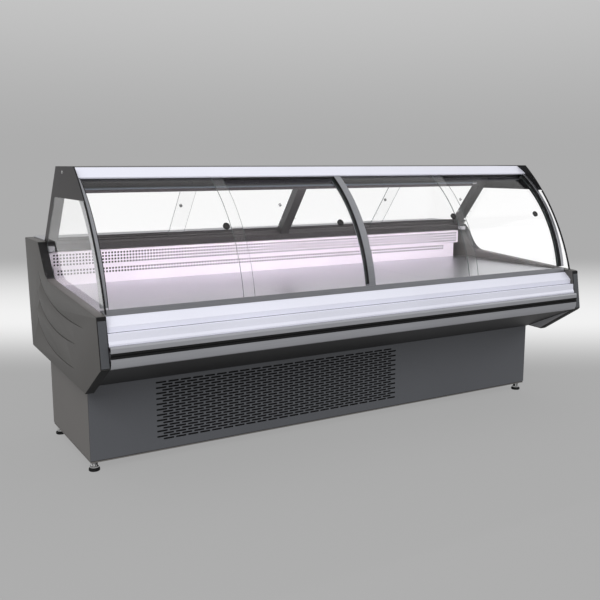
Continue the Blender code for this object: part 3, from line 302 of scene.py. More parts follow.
# Each finish: material name, colour, roughness, grain (mm), mottle, relief (mm) and other values.
GRAINED = {
    # ABS moulding. The tool's 0.5 mm leather grain gives a soft, even sheen; drawn at 3 mm to show.
    "end_abs": ("moulded_abs", "end_abs", 0.50, 3, 0.06, 0.10, {"drift": 0.5}),
    # Bluish co-extruded ABS with a sandy face, coarser than the panel beside it; drawn at 4 mm.
    "end_nose": ("textured_nose_abs", "end_nose", 0.42, 4, 0.12, 0.15, {}),
    # Plain flat grey primer, paler than the ABS round it. On the plates inside the case's ends this pale tone
    # is also painted light, standing in for light falling on the end panels' inner faces.
    "end_plate": ("grey_primer", "end_plate", 0.60, 5, 0.03, 0.05, {}),
    # Graphite powder coat on sheet steel: its 1 mm orange peel sparkles faintly; drawn at 4 mm.
    "front_steel": ("graphite_powder_coat", "front_steel", 0.48, 4, 0.10, 0.12, {}),
    # Warm grey powder coat: flatter and lighter than the front, with the same fine peel.
    "side_steel": ("taupe_powder_coat", "side_steel", 0.52, 4, 0.06, 0.10, {}),
    # Gloss white coat with a lavender cast. It stays smooth, so steps and edges read as crisp lines.
    "white_steel": ("white_gloss_coat", "white_steel", 0.26, 8, 0.010, 0.02, {}),
    # White enamelled steel, a little pink under the lamp. It glows softly and hides its joints.
    "duct_steel": ("duct_enamel", "duct_steel", 0.38, 8, 0.012, 0.02, {}),
    # Extruded, satin-anodised aluminium. The die's drawn lines run along it and stretch highlights.
    "aluminium": ("anodised_aluminium", "aluminium", 0.34, 3, 0.07, 0.02,
                  {"metallic": 0.85, "stretch": (0.02, 1, 1)}),
    # Silver satin coat on the bumper extrusion: flatter than bare metal, so it stays even and pale.
    "rail": ("silver_satin_coat", "rail", 0.42, 4, 0.04, 0.02, {"metallic": 0.35, "stretch": (0.02, 1, 1)}),
    # Black EPDM rubber: matte, with a faint bloom that greys it in patches of a few millimetres. It is also
    # painted shade on hole walls, sheets behind holes, fascia lines and end panel chamfers.
    "rubber": ("epdm_rubber", "rubber", 0.68, 5, 0.15, 0.05, {"specular": 0.3}),
    # Black coated sheet steel, seen only in shade. Its peel gives it a dull sheen.
    "black_steel": ("black_coated_steel", "black_steel", 0.55, 4, 0.10, 0.08, {}),
    # Brushed stainless steel. Grit lines run along the case, 0.2 mm apart; drawn 2 mm apart.
    "stainless": ("brushed_stainless", "stainless", 0.30, 2, 0.05, 0.015,
                  {"metallic": 1.0, "stretch": (0.01, 1, 1)}),
    # Dark satin coat with a plum cast on the canopy, posts and sill. Broad soft highlights.
    "canopy_dark": ("plum_satin_coat", "canopy_dark", 0.40, 5, 0.05, 0.04, {}),
    # Chromed steel, bright and slightly uneven where it was polished.
    "chrome": ("polished_chrome", "chrome", 0.14, 6, 0.04, 0.0, {"metallic": 1.0}),
    # Aluminium fins pressed on tubes, 2 mm apart; drawn 6 mm apart, so the coil reads as ribbed.
    "fins": ("coil_fins", "fins", 0.45, 6, 0.30, 0.30, {"metallic": 0.9, "stretch": (1, 0.05, 0.05)}),
    # Glass-filled nylon of the fans: black, with a slight moulded haze.
    "fan_plastic": ("glass_filled_nylon", "rubber", 0.50, 4, 0.12, 0.04, {}),
    # Black stoving enamel on the compressor's shell: glossy, with long soft highlights.
    "compressor_enamel": ("stoving_enamel", "black_steel", 0.24, 12, 0.05, 0.03, {}),
    # Ground and polished rim of a pane: light gets lost in it, so it reads as a dark green-grey line.
    "glass_edge": ("ground_glass_edge", "glass_edge", 0.25, 4, 0.15, 0.0, {}),
}
MAKERS = {"glass": clear_glass, "lamp_cover": lamp_tube, "display": glowing_digits}
MATERIALS = {}


def finish(name):
    """The named finish, made once."""
    if name not in MATERIALS:
        if name in MAKERS:
            MATERIALS[name] = MAKERS[name]()
        else:
            title, base, roughness, grain, mottle, relief, others = GRAINED[name]
            MATERIALS[name] = grained(title, getattr(colours(), base), roughness, grain * MM, mottle,
                                      relief * MM, **others)
    return MATERIALS[name]


# ---------------------------------------------------------------- mesh tools
def piece(name, shape, finishes, body=CABINET, replaces=(), sharp=30.0):
    """Makes a finished piece of a bmesh and lets it ride on a body."""
    mesh = bpy.data.meshes.new(name)
    shape.to_mesh(mesh)
    shape.free()
    for each in finishes:
        mesh.materials.append(finish(each))
    mesh.shade_smooth()
    mesh.set_sharp_from_angle(angle=math.radians(sharp))
    obj = bpy.data.objects.new(name, mesh)
    bpy.context.scene.collection.objects.link(obj)
    even = obj.modifiers.new("Even Shading", "WEIGHTED_NORMAL")
    even.keep_sharp = True
    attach(obj, body)
    if replaces:
        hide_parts(*replaces)
    return obj


def copied(node):
    """A CAD node's mesh with its loose triangles joined and its flat faces whole."""
    shape = bmesh.new()
    shape.from_mesh(frame["nodes"][node].data)
    for layer in list(shape.loops.layers.uv):
        shape.loops.layers.uv.remove(layer)
    bmesh.ops.remove_doubles(shape, verts=shape.verts, dist=0.02 * MM)
    bmesh.ops.dissolve_limit(shape, angle_limit=math.radians(0.4), verts=shape.verts, edges=shape.edges)
    return shape


def round_edges(shape, width, segments=2, angle=25.0):
    """Rounds every edge that turns by more than an angle."""
    turning = [e for e in shape.edges
               if len(e.link_faces) == 2 and e.calc_face_angle(0.0) > math.radians(angle)]
    bmesh.ops.bevel(shape, geom=turning, offset=width, offset_type="OFFSET", segments=segments,
                    profile=0.5, affect="EDGES", clamp_overlap=True, material=-1)
    return shape


def softened(name, node, width, slot, segments=2, material=None):
    """A CAD node's shape with rounded edges, in its place."""
    shape = round_edges(copied(node), width, segments)
    return piece(name, shape, [material or slot], body_of(node), [node])


def body_of(node):
    """The body that a CAD node rides on."""
    return frame["nodes"][node]["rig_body"]


def keep(slot, *nodes):
    """Gives CAD nodes that stay a better material."""
    for node in nodes:
        slots = frame["nodes"][node].material_slots
        for each in slots:
            each.material = finish(slot)


def brick(shape, low, high, bevel=0.0, segments=2):
    """Adds a box between two corners, with rounded edges."""
    low, high = Vector(low), Vector(high)
    place = Matrix.Translation((low + high) / 2) @ Matrix.Diagonal((*(high - low), 1.0))
    made = bmesh.ops.create_cube(shape, size=1.0, matrix=place)["verts"]
    if bevel:
        edges = list({e for v in made for e in v.link_edges})
        bmesh.ops.bevel(shape, geom=edges, offset=bevel, offset_type="OFFSET", segments=segments,
                        profile=0.5, affect="EDGES", clamp_overlap=True, material=-1)
    return made


def block(name, low, high, bevel, material, replaces=()):
    """A piece that is one box with rounded edges."""
    shape = bmesh.new()
    brick(shape, low, high, bevel)
    return piece(name, shape, [material], replaces=replaces)


def turned(shape, profile, place, steps=32):
    """Spins (radius, height) points about Z into a closed body, and puts it at a place."""
    own = bmesh.new()
    chain = [own.verts.new((radius, 0.0, height)) for radius, height in profile]
    edges = [own.edges.new(pair) for pair in zip(chain, chain[1:])]
    bmesh.ops.spin(own, geom=chain + edges, cent=(0, 0, 0), axis=(0, 0, 1), angle=2 * math.pi,
                   steps=steps, use_merge=True)
    bmesh.ops.remove_doubles(own, verts=own.verts, dist=0.005 * MM)
    bmesh.ops.recalc_face_normals(own, faces=own.faces)
    bmesh.ops.transform(own, matrix=place, verts=own.verts)
    spare = bpy.data.meshes.new("spare")
    own.to_mesh(spare)
    own.free()
    shape.from_mesh(spare)
    bpy.data.meshes.remove(spare)
    return shape


def swept(shape, profile, stations):
    """Carries a closed (across, out) profile through matrices, extruding it from each to the next."""
    flat = [Vector((across, out, 0.0)) for across, out in profile]
    ring = [shape.verts.new(stations[0] @ point) for point in flat]
    face = shape.faces.new(ring)
    for index, station in enumerate(stations[1:]):
        grown = bmesh.ops.extrude_face_region(shape, geom=[face])["geom"]
        if index:
            bmesh.ops.delete(shape, geom=[face], context="FACES_ONLY")
        new = {g for g in grown if isinstance(g, bmesh.types.BMVert)}
        face = next(g for g in grown if isinstance(g, bmesh.types.BMFace))
        ring = [next(e.other_vert(v) for e in v.link_edges if e.other_vert(v) in new) for v in ring]
        for vert, point in zip(ring, flat):
            vert.co = station @ point
    bmesh.ops.recalc_face_normals(shape, faces=shape.faces)
    return shape


def extruded(shape, outline, x_low, x_high):
    """A (y, z) outline carried along X."""
    along = Matrix(((0, 0, 1), (1, 0, 0), (0, 1, 0))).to_4x4()
    return swept(shape, outline, [Matrix.Translation((x, 0, 0)) @ along for x in (x_low, x_high)])


# ---------------------------------------------------------------- the curved front
class Arc:
    """The circle that the curved glass lies on, seen from the end of the case."""

    def __init__(self, kind="glass"):
        s = sizes()
        setback, head_back, rise = {
            "glass": (s.glass_foot, s.glass_head, s.glass_rise),
            "outline": (s.outline_foot, s.outline_head, s.outline_rise)}[kind]
        foot = Vector((CAD_LOW.y + setback, s.glass_foot_height))
        head = Vector((CAD_LOW.y + head_back, CAD_HIGH.z - s.glass_head_drop))
        chord = head - foot
        self.radius = chord.length ** 2 / (8 * rise) + rise / 2
        outward = Vector((-chord.y, chord.x)).normalized()
        self.centre = (foot + head) / 2 - outward * (self.radius - rise)

    def angle(self, height, out=0.0):
        """The angle at which the curve, moved outwards, reaches a height."""
        return math.pi - math.asin((height - self.centre.y) / (self.radius + out))

    def point(self, out, angle):
        """A (y, z) point outside the glass face by out."""
        reach = self.radius + out
        return (self.centre.x + reach * math.cos(angle), self.centre.y + reach * math.sin(angle))

    def stations(self, low, high, out=0.0, steps=40):
        """Matrices from one height to another: across is X, and out is away from the centre."""
        start, end = self.angle(low, out), self.angle(high, out)
        found = []
        for i in range(steps + 1):
            turn = start + (end - start) * i / steps
            y, z = self.point(out, turn)
            found.append(Matrix(((1, 0, 0, 0), (0, math.cos(turn), -math.sin(turn), y),
                                 (0, math.sin(turn), math.cos(turn), z), (0, 0, 0, 1))))
        return found


def rectangle(x_low, x_high, out_low, out_high, corner=0.0):
    """An (across, out) profile with its outer corners cut by a small chamfer."""
    if not corner:
        return [(x_low, out_low), (x_high, out_low), (x_high, out_high), (x_low, out_high)]
    return [(x_low, out_low), (x_high, out_low), (x_high, out_high - corner),
            (x_high - corner, out_high), (x_low + corner, out_high), (x_low, out_high - corner)]


def mirrored(profile, side):
    """A profile for the left or the right end."""
    return [(side * across, out) for across, out in profile]


# ---------------------------------------------------------------- sheets with slots and holes
def slot_cell(shape, layer, x, z, s):
    """One cell of the brick pattern, a flat rectangle round a round-ended slot."""
    half = s.slot_pitch / 2
    corners = [(x, z), (x + half, z), (x + 2 * half, z), (x + 2 * half, z + s.slot_rise),
               (x + half, z + s.slot_rise), (x, z + s.slot_rise)]
    rim = [shape.verts.new((a, 0.0, b)) for a, b in corners]
    for vert in rim:
        vert[layer] = 1
    edges = [shape.edges.new((rim[i - 1], rim[i])) for i in range(len(rim))]
    middle = Vector((x + half, 0.0, z + s.slot_rise / 2))
    stand = Matrix.Translation(middle) @ Matrix.Rotation(math.pi / 2, 4, "X")
    eighth = Matrix.Rotation(math.radians(22.5), 4, "Z")
    circle = bmesh.ops.create_circle(shape, segments=8, radius=s.slot_height / 2 / math.cos(math.pi / 8),
                                     matrix=stand @ eighth)["verts"]
    stretch = (s.slot_length - s.slot_height) / 2
    for vert in circle:
        vert.co.x += stretch if vert.co.x > middle.x else -stretch
    edges += list({e for v in circle for e in v.link_edges})
    bmesh.ops.triangle_fill(shape, edges=edges, use_beauty=True, use_dissolve=False, normal=(0, -1, 0))
    return shape.verts[:], shape.faces[:]


def slotted_sheet(x_low, x_high, z_low, z_high, slot_x, slot_z, columns, rows, y, thickness):
    """A flat sheet in the XZ plane with a brick pattern of slots, the top row flush."""
    s = sizes()
    shape = bmesh.new()
    layer = shape.verts.layers.int.new("cell_rim")
    slot_cell(shape, layer, 0.0, 0.0, s)
    cell = shape.verts[:] + shape.edges[:] + shape.faces[:]
    start_x = slot_x - (s.slot_pitch - s.slot_length) / 2
    start_z = slot_z - (s.slot_rise - s.slot_height) / 2
    for row in range(rows):
        shift = 0.0 if (rows - 1 - row) % 2 == 0 else s.slot_pitch / 2
        for column in range(columns):
            grown = bmesh.ops.duplicate(shape, geom=cell)["geom"]
            bmesh.ops.translate(shape, verts=[g for g in grown if isinstance(g, bmesh.types.BMVert)],
                                vec=(start_x + shift + column * s.slot_pitch, 0.0,
                                     start_z + row * s.slot_rise))
    bmesh.ops.delete(shape, geom=[g for g in cell if isinstance(g, bmesh.types.BMVert)], context="VERTS")
    bmesh.ops.remove_doubles(shape, verts=shape.verts, dist=0.02 * MM)
    border = [e for e in shape.edges if len(e.link_faces) == 1 and all(v[layer] for v in e.verts)]
    rim = [shape.verts.new(p) for p in ((x_low, 0, z_low), (x_high, 0, z_low), (x_high, 0, z_high),
                                        (x_low, 0, z_high))]
    border += [shape.edges.new((rim[i - 1], rim[i])) for i in range(4)]
    bmesh.ops.triangle_fill(shape, edges=border, use_beauty=True, use_dissolve=False, normal=(0, -1, 0))
    return thickened(shape, y, thickness)


def thickened(shape, y, thickness):
    """Gives a flat sheet its thickness behind its face at y."""
    bmesh.ops.recalc_face_normals(shape, faces=shape.faces)
    if sum(f.normal.y * f.calc_area() for f in shape.faces) > 0:
        bmesh.ops.reverse_faces(shape, faces=shape.faces)
    bmesh.ops.translate(shape, verts=shape.verts, vec=(0, y, 0))
    bmesh.ops.solidify(shape, geom=shape.faces[:], thickness=thickness)
    bmesh.ops.recalc_face_normals(shape, faces=shape.faces)
    return shape


def painted_shade_rims(shape):
    """Gives the narrow walls of a sheet's holes its second material, a black that is painted shade standing
    in for the shade inside the holes.
    """
    for face in shape.faces:
        if abs(face.normal.y) < 0.5:
            face.material_index = 1
    return shape


def spaced(low, high, pitch, width, count, first=None):
    """Grid lines from low to high: the two sides of each of a row of holes, centred or from a first one."""
    if first is None:
        first = (low + high) / 2 - (count - 1) * pitch / 2
    lines = [low]
    for i in range(count):
        lines += [first + i * pitch - width / 2, first + i * pitch + width / 2]
    return lines + [high]


def holed_sheet(x_lines, z_lines, y, thickness):
    """A flat sheet whose every other cell, both ways, is a hole."""
    shape = bmesh.new()
    columns, rows = len(x_lines) - 1, len(z_lines) - 1
    bmesh.ops.create_grid(shape, x_segments=columns, y_segments=rows, size=0.5)
    shape.verts.ensure_lookup_table()
    for vert in shape.verts:
        column = round((vert.co.x + 0.5) * columns)
        row = round((vert.co.y + 0.5) * rows)
        vert.co = (x_lines[column], 0.0, z_lines[row])
    holes = []
    for face in shape.faces:
        middle = face.calc_center_median()
        column = sum(1 for x in x_lines if x < middle.x) - 1
        row = sum(1 for z in z_lines if z < middle.z) - 1
        if column % 2 == 1 and row % 2 == 1:
            holes.append(face)
    bmesh.ops.delete(shape, geom=holes, context="FACES")
    return thickened(shape, y, thickness)


# ---------------------------------------------------------------- the pieces
class DeliOperator(bpy.types.Operator):
    """Shared base of the case's operators"""

    bl_options = {"REGISTER", "UNDO"}


class DELI_OT_plinth(DeliOperator):
    """Plinth: slotted front panel, plain sides, vented rear and the folded edge along its foot"""

    bl_idname = "deli.plinth"
    bl_label = "Plinth"

    def execute(self, context):
        s = sizes()
        low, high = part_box("base_front_panel")
        foot = low.z + s.fold_rise
        sheet = high.y - low.y
        columns, rows = s.slot_columns, s.slot_rows
        front = slotted_sheet(low.x, high.x, foot, high.z, low.x + s.grille_inset, low.z + s.grille_rise,
                              columns, rows, low.y, sheet)
        # The slot walls get black rubber: painted shade inside the slots.
        piece("plinth_front_grille", painted_shade_rims(front), ["front_steel", "rubber"],
              replaces=["base_front_panel"])

        back_low, back_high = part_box("base_rear_panel")
        wide = 31
        vent_x = -(wide + 0.5) * s.slot_pitch / 2
        vent_z = back_high.z - 0.095 - 6 * s.slot_rise
        rear = slotted_sheet(back_low.x, back_high.x, foot, back_high.z, vent_x, vent_z, wide, 6,
                             back_low.y, back_high.y - back_low.y)
        piece("plinth_rear_vents", rear, ["side_steel"], replaces=["base_rear_panel"])

        for side, name in SIDES:
            node = "base_%s_panel" % name
            near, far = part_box(node)
            block("plinth_side_" + name, (near.x, near.y, foot), far, 0.8 * MM, "side_steel",
                  replaces=[node])

        fold = bmesh.new()
        inset, tall = 1.5 * MM, s.fold_rise - 3 * MM
        y_low, y_high = low.y + inset, back_high.y - inset
        x_high = high.x - inset
        for y in (y_low, y_high - sheet):
            brick(fold, (-x_high, y, low.z), (x_high, y + sheet, low.z + tall), 0.5 * MM)
        for x in (-x_high, x_high - sheet):
            brick(fold, (x, y_low + sheet, low.z), (x + sheet, y_high - sheet, low.z + tall), 0.5 * MM)
        piece("plinth_foot_fold", fold, ["side_steel"])
        # Black sheet behind the grille: painted shade seen through the slots.
        block("grille_filter", (low.x + 4 * MM, high.y + s.shade_sheet_gap, foot + 4 * MM),
              (high.x - 4 * MM, high.y + s.shade_sheet_gap + 1 * MM, high.z - 4 * MM), 0.3 * MM,
              "rubber")
        keep("black_steel", "chassis_pan")
        return {"FINISHED"}


class DELI_OT_feet(DeliOperator):
    """Levelling feet: a bright threaded stem with its nut on a black rubber pad"""

    bl_idname = "deli.feet"
    bl_label = "Levelling Feet"

    def execute(self, context):
        for row in ("front", "rear"):
            for side, name in SIDES:
                node = "foot_%s_%s" % (row, name)
                low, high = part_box(node)
                middle = (low + high) / 2
                place = Matrix.Translation((middle.x, middle.y, 0.0))
                radius = (high.x - low.x) / 2
                pad_top = sizes().pad_height
                pad = [(0.0, 0.0), (radius - 1.5 * MM, 0.0), (radius, 1.5 * MM), (radius, pad_top - 4 * MM),
                       (radius - 1 * MM, pad_top - 2 * MM), (radius - 5 * MM, pad_top), (0.0, pad_top)]
                piece("pad_%s_%s" % (row, name), turned(bmesh.new(), pad, place), ["rubber"])
                stem = [(0.0, pad_top + 0.1 * MM), (radius - 8 * MM, pad_top + 0.1 * MM),
                        (radius - 5 * MM, pad_top + 1.5 * MM), (radius - 5 * MM, pad_top + 6 * MM),
                        (radius - 7 * MM, pad_top + 7 * MM)]
                step = (high.z - pad_top - 9 * MM) / 8
                for turn in range(8):
                    z = pad_top + 7 * MM + step * turn
                    stem += [(radius - 9.5 * MM, z + step * 0.25), (radius - 8.2 * MM, z + step * 0.75)]
                stem += [(radius - 9 * MM, high.z - 1 * MM), (0.0, high.z - 1 * MM)]
                piece("stem_%s_%s" % (row, name), turned(bmesh.new(), stem, place), ["chrome"],
                      replaces=[node])
        return {"FINISHED"}


def inner_face(node, side):
    """The plain inner face of an end panel, as a bmesh."""
    shape = copied(node)
    shape.faces.ensure_lookup_table()
    inner = max((f for f in shape.faces if f.normal.x * -side > 0.9), key=lambda f: f.calc_area())
    bmesh.ops.delete(shape, geom=[f for f in shape.faces if f is not inner], context="FACES")
    return shape


def hollow(target, tool):
    """Cuts a mesh object with another and keeps only the result."""
    modifier = target.modifiers.new("Cut", "BOOLEAN")
    modifier.operation = "DIFFERENCE"
    modifier.object = tool
    modifier.solver = "EXACT"
    bpy.context.view_layer.update()
    evaluated = target.evaluated_get(bpy.context.evaluated_depsgraph_get())
    made = bpy.data.meshes.new_from_object(evaluated)
    target.modifiers.clear()
    old = target.data
    target.data = made
    bpy.data.meshes.remove(old)
    bpy.data.objects.remove(tool, do_unlink=True)


def scratch(name, shape):
    """A mesh object that is used as a tool and doesn't stay."""
    mesh = bpy.data.meshes.new(name)
    shape.to_mesh(mesh)
    shape.free()
    obj = bpy.data.objects.new(name, mesh)
    bpy.context.scene.collection.objects.link(obj)
    return obj


FLUTES = (                    # start, bend and end of each flute: behind the rear edge, above the floor
    ((0.238, 0.772), (0.330, 0.600), (0.939, 0.629)),
    ((0.195, 0.680), (0.285, 0.505), (0.818, 0.544)),
    ((0.152, 0.593), (0.245, 0.405), (0.783, 0.438)),
)
FLUTE_STEPS = 36


def flute(shape, points, side, x):
    """A long tool with a bell-shaped nose, which cuts one soft flute that runs out at both ends."""
    s = sizes()
    start, bend, end = (Vector((CAD_HIGH.y - back, up)) for back, up in points)
    wide, deep = s.flute_width / 2, s.flute_depth
    bell = []
    for i in range(13):
        across = -1 + i / 6
        bell.append((across * wide, -deep * math.cos(across * math.pi / 2) ** 2 + 0.4 * MM))
    bell += [(wide, 12 * MM), (-wide, 12 * MM)]
    stations = []
    for i in range(FLUTE_STEPS + 1):
        t = i / FLUTE_STEPS
        place = start * (1 - t) ** 2 + bend * 2 * t * (1 - t) + end * t ** 2
        way = ((bend - start) * (1 - t) + (end - bend) * t).normalized()
        share = 0.10 + 0.90 * math.sin(math.pi * t) ** 0.6
        out = Vector((side, 0, 0))
        run = Vector((0, way.x, way.y))
        across = run.cross(out)
        turn = Matrix((across * share, out * share, run)).transposed().to_4x4()
        lift = side * 0.4 * MM * (1 - share)
        stations.append(Matrix.Translation((x + lift, place.x, place.y)) @ turn)
    return swept(shape, bell, stations)


class DELI_OT_end_panels(DeliOperator):
    """Moulded end panels: rounded edges, three soft flutes, textured nose strip and rubber cap"""

    bl_idname = "deli.end_panels"
    bl_label = "End Panels"

    def execute(self, context):
        s = sizes()
        for side, name in SIDES:
            node = name + "_end_panel"
            low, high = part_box(node)
            outer = high.x if side > 0 else low.x
            shape = inner_face(node, side)
            face = shape.faces[:]
            grown = bmesh.ops.extrude_face_region(shape, geom=face)["geom"]
            far = [g for g in grown if isinstance(g, bmesh.types.BMVert)]
            bmesh.ops.translate(shape, verts=far, vec=(side * (high.x - low.x), 0, 0))
            bmesh.ops.recalc_face_normals(shape, faces=shape.faces)
            round_edges(shape, s.edge_radius, 3, 60.0)
            panel = piece("end_panel_" + name, shape, ["end_abs"], replaces=[node])
            for index, points in enumerate(FLUTES):
                hollow(panel, scratch("flute_tool", flute(bmesh.new(), points, side, outer)))
            panel.data.materials.clear()
            for each in ("end_abs", "rubber"):
                panel.data.materials.append(finish(each))
            # Downward-facing chamfer faces get black rubber as painted shade under the chin; the steep rim
            # faces get it as a black moulding.
            for face in panel.data.polygons:
                chamfer = face.normal.z < -0.5 and face.normal.y < -0.3
                steep = face.center.z > s.glass_foot_height + 0.03 and face.normal.y < -0.35
                face.material_index = 1 if chamfer or steep else 0
            panel.data.shade_smooth()
            panel.data.set_sharp_from_angle(angle=math.radians(35))

            top = Vector((CAD_LOW.y + s.nose_setback, s.glass_foot_height + 1 * MM))
            lip = Vector((CAD_LOW.y + s.lip_setback, s.lip_height))
            way = (lip - top).normalized()
            out = Vector((way.y, -way.x))
            near, full = outer - side * 1.0 * MM, high.x - low.x - 2 * MM
            run = Matrix(((0, side, 0), (out.x, 0, way.x), (out.y, 0, way.y))).to_4x4()

            def strip(along_low, along_high, proud, wide):
                centre = near - side * full / 2
                shape = bmesh.new()
                place = Matrix.Translation((centre, top.x, top.y)) @ run
                made = bmesh.ops.create_cube(shape, size=1.0)["verts"]
                depth = 4 * MM
                for vert in made:
                    vert.co = Vector((proud if vert.co.x > 0 else proud - depth, vert.co.y * wide,
                                      along_high if vert.co.z > 0 else along_low))
                bmesh.ops.transform(shape, matrix=place, verts=made)
                bmesh.ops.recalc_face_normals(shape, faces=shape.faces)
                return round_edges(shape, 1.2 * MM, 2)

            length = (lip - top).length
            piece("nose_gasket_" + name, strip(14 * MM, length - 3 * MM, 0.5 * MM, full), ["rubber"])
            piece("nose_strip_" + name, strip(17 * MM, length - 6 * MM, 1.4 * MM, full - 5 * MM),
                  ["end_nose"])
            piece("nose_cap_" + name, strip(2 * MM, 15.5 * MM, 1.4 * MM, full), ["rubber"])

            inner = outer - side * (high.x - low.x)
            under_low, under_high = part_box("underside_panel")
            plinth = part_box("base_front_panel")[0]
            slope = (under_high.z - under_low.z) / (plinth.y - under_low.y)
            chin_y, chin_z = CAD_LOW.y + s.chin_setback, s.chin_height

            def under(y):
                return under_high.z - (y - under_low.y) * slope - 1.5 * MM

            # A pale grey plate on the end panel's inner face under the case: its pale tone is painted light,
            # standing in for the light that falls on that face.
            outline = [(under_low.y + 0.020, under(under_low.y + 0.020)), (chin_y, chin_z + 6 * MM),
                       (plinth.y - 1 * MM, chin_z + 6 * MM), (plinth.y - 1 * MM, under(plinth.y) + 8 * MM),
                       (plinth.y - 0.020, under(plinth.y - 0.020))]
            x_low, x_high = sorted((inner - side * 1.2 * MM, inner - side * 0.2 * MM))
            plate = extruded(bmesh.new(), outline, x_low, x_high)
            piece("end_plate_" + name, plate, ["end_plate"])
        return {"FINISHED"}


class DELI_OT_front(DeliOperator):
    """Customer front: stepped white fascia, bumper rail with its rubber strip, dark underside"""

    bl_idname = "deli.front"
    bl_label = "Customer Front"

    def execute(self, context):
        softened("fascia_stepped", "front_fascia", 0.5 * MM, "white_steel")
        low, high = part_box("front_fascia")
        rail_low, rail_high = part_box("bumper_rail")
        # Two thin black strips, in the fascia's step and along the bumper rail's top: painted shade, standing
        # in for the shadow lines there.
        step_shade = bmesh.new()
        step = sizes().step_height
        brick(step_shade, (low.x, low.y + 27.2 * MM, step), (high.x, low.y + 29 * MM, step + 1.4 * MM), 0.3 * MM)
        brick(step_shade, (low.x, low.y + 1.0 * MM, rail_high.z - 0.1 * MM),
              (high.x, low.y + 3 * MM, rail_high.z + 1.4 * MM), 0.3 * MM)
        piece("fascia_beads", step_shade, ["rubber"])
        softened("bumper_extrusion", "bumper_rail", 0.6 * MM, "aluminium", material="rail")
        softened("bumper_rubber", "bumper_strip", 0.5 * MM, "rubber")
        softened("underside_sheet", "underside_panel", 0.6 * MM, "black_steel")
        return {"FINISHED"}


class DELI_OT_front_glass(DeliOperator):
    """Curved glass: track, end trims, mullion, seals, four sliding panes and their round pulls"""

    bl_idname = "deli.front_glass"
    bl_label = "Curved Glass"

    def execute(self, context):
        s = sizes()
        arc = Arc()
        softened("glass_track", "front_track", 0.5 * MM, "aluminium")
        softened("glass_mullion", "front_mullion", 1.0 * MM, "aluminium")
        low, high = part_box("front_mullion")
        foot, head = low.z + 12 * MM, high.z - 4 * MM
        liner = rectangle(low.x - 0.9 * MM, low.x + 0.4 * MM, -0.024, 3.2 * MM, 0.3 * MM)
        piece("mullion_liner", swept(bmesh.new(), liner, arc.stations(foot, head)), ["rubber"])

        for side, name in SIDES:
            node = "arc_trim_" + name
            low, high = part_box(node)
            near, far = sorted((abs(low.x), abs(high.x)))
            foot, head = low.z + 12 * MM, high.z - 2 * MM
            lines = arc.stations(foot, head)
            split = near + s.seal_width
            for label, profile, material, nodes in (
                    ("trim_channel_", rectangle(split, far, -0.030, 4 * MM, 0.8 * MM), "aluminium", [node]),
                    ("trim_seal_", rectangle(near, split - 0.1 * MM, -0.029, 3.6 * MM, 0.8 * MM),
                     "rubber", [])):
                shape = swept(bmesh.new(), mirrored(profile, side), lines)
                piece(label + name, shape, [material], replaces=nodes)

        for number in (1, 2, 3, 4):
            node = "front_pane_%d" % number
            curved_pane(node, "curved_pane_%d" % number)
            round_pull(number)
        return {"FINISHED"}


def see_through(obj):
    """Lets lamps and bounced light through a pane of glass."""
    obj.visible_shadow = False
    obj.visible_diffuse = False


def edge_faces(shape, axis):
    """Gives the rim of a pane its second material: every face that looks along an axis."""
    for face in shape.faces:
        if abs(face.normal[axis]) > 0.9:
            face.material_index = 1


def curved_pane(node, name):
    """A curved pane with ground edges at its two straight sides."""
    shape = copied(node)
    edge_faces(shape, 0)
    see_through(piece(name, shape, ["glass", "glass_edge"], body_of(node), [node], sharp=20.0))


def round_pull(number):
    """A round pull: black ring with a dished grey centre, through the pane."""
    node = "front_pull_%d" % number
    s = sizes()
    arc = Arc()
    low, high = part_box(node)
    middle = (low + high) / 2
    turn = arc.angle(middle.z)
    out = Vector((0, math.cos(turn), math.sin(turn)))
    place = Matrix.Translation(middle) @ out.to_track_quat("Z", "X").to_matrix().to_4x4()
    r = s.pull_radius
    face, rim = 2.8 * MM, 5.4 * MM
    ring = [(r * 0.66, face - 1 * MM), (r * 0.70, rim - 0.6 * MM), (r * 0.78, rim),
            (r * 0.92, rim - 0.4 * MM), (r, rim - 1.4 * MM), (r, face), (r * 0.76, face),
            (r * 0.76, -face), (r * 0.95, -face), (r * 0.95, -rim + 1.6 * MM),
            (r * 0.86, -rim + 0.6 * MM), (0.0, -rim + 0.6 * MM), (0.0, face - 1 * MM)]
    body = body_of(node)
    piece("pull_ring_%d" % number, turned(bmesh.new(), ring, place), ["fan_plastic"], body, [node])
    cap = [(0.0, face - 0.8 * MM), (0.0, face + 0.5 * MM), (r * 0.40, face + 0.2 * MM),
           (r * 0.60, face + 1.2 * MM), (r * 0.64, face - 0.8 * MM)]
    piece("pull_centre_%d" % number, turned(bmesh.new(), cap, place), ["canopy_dark"], body)


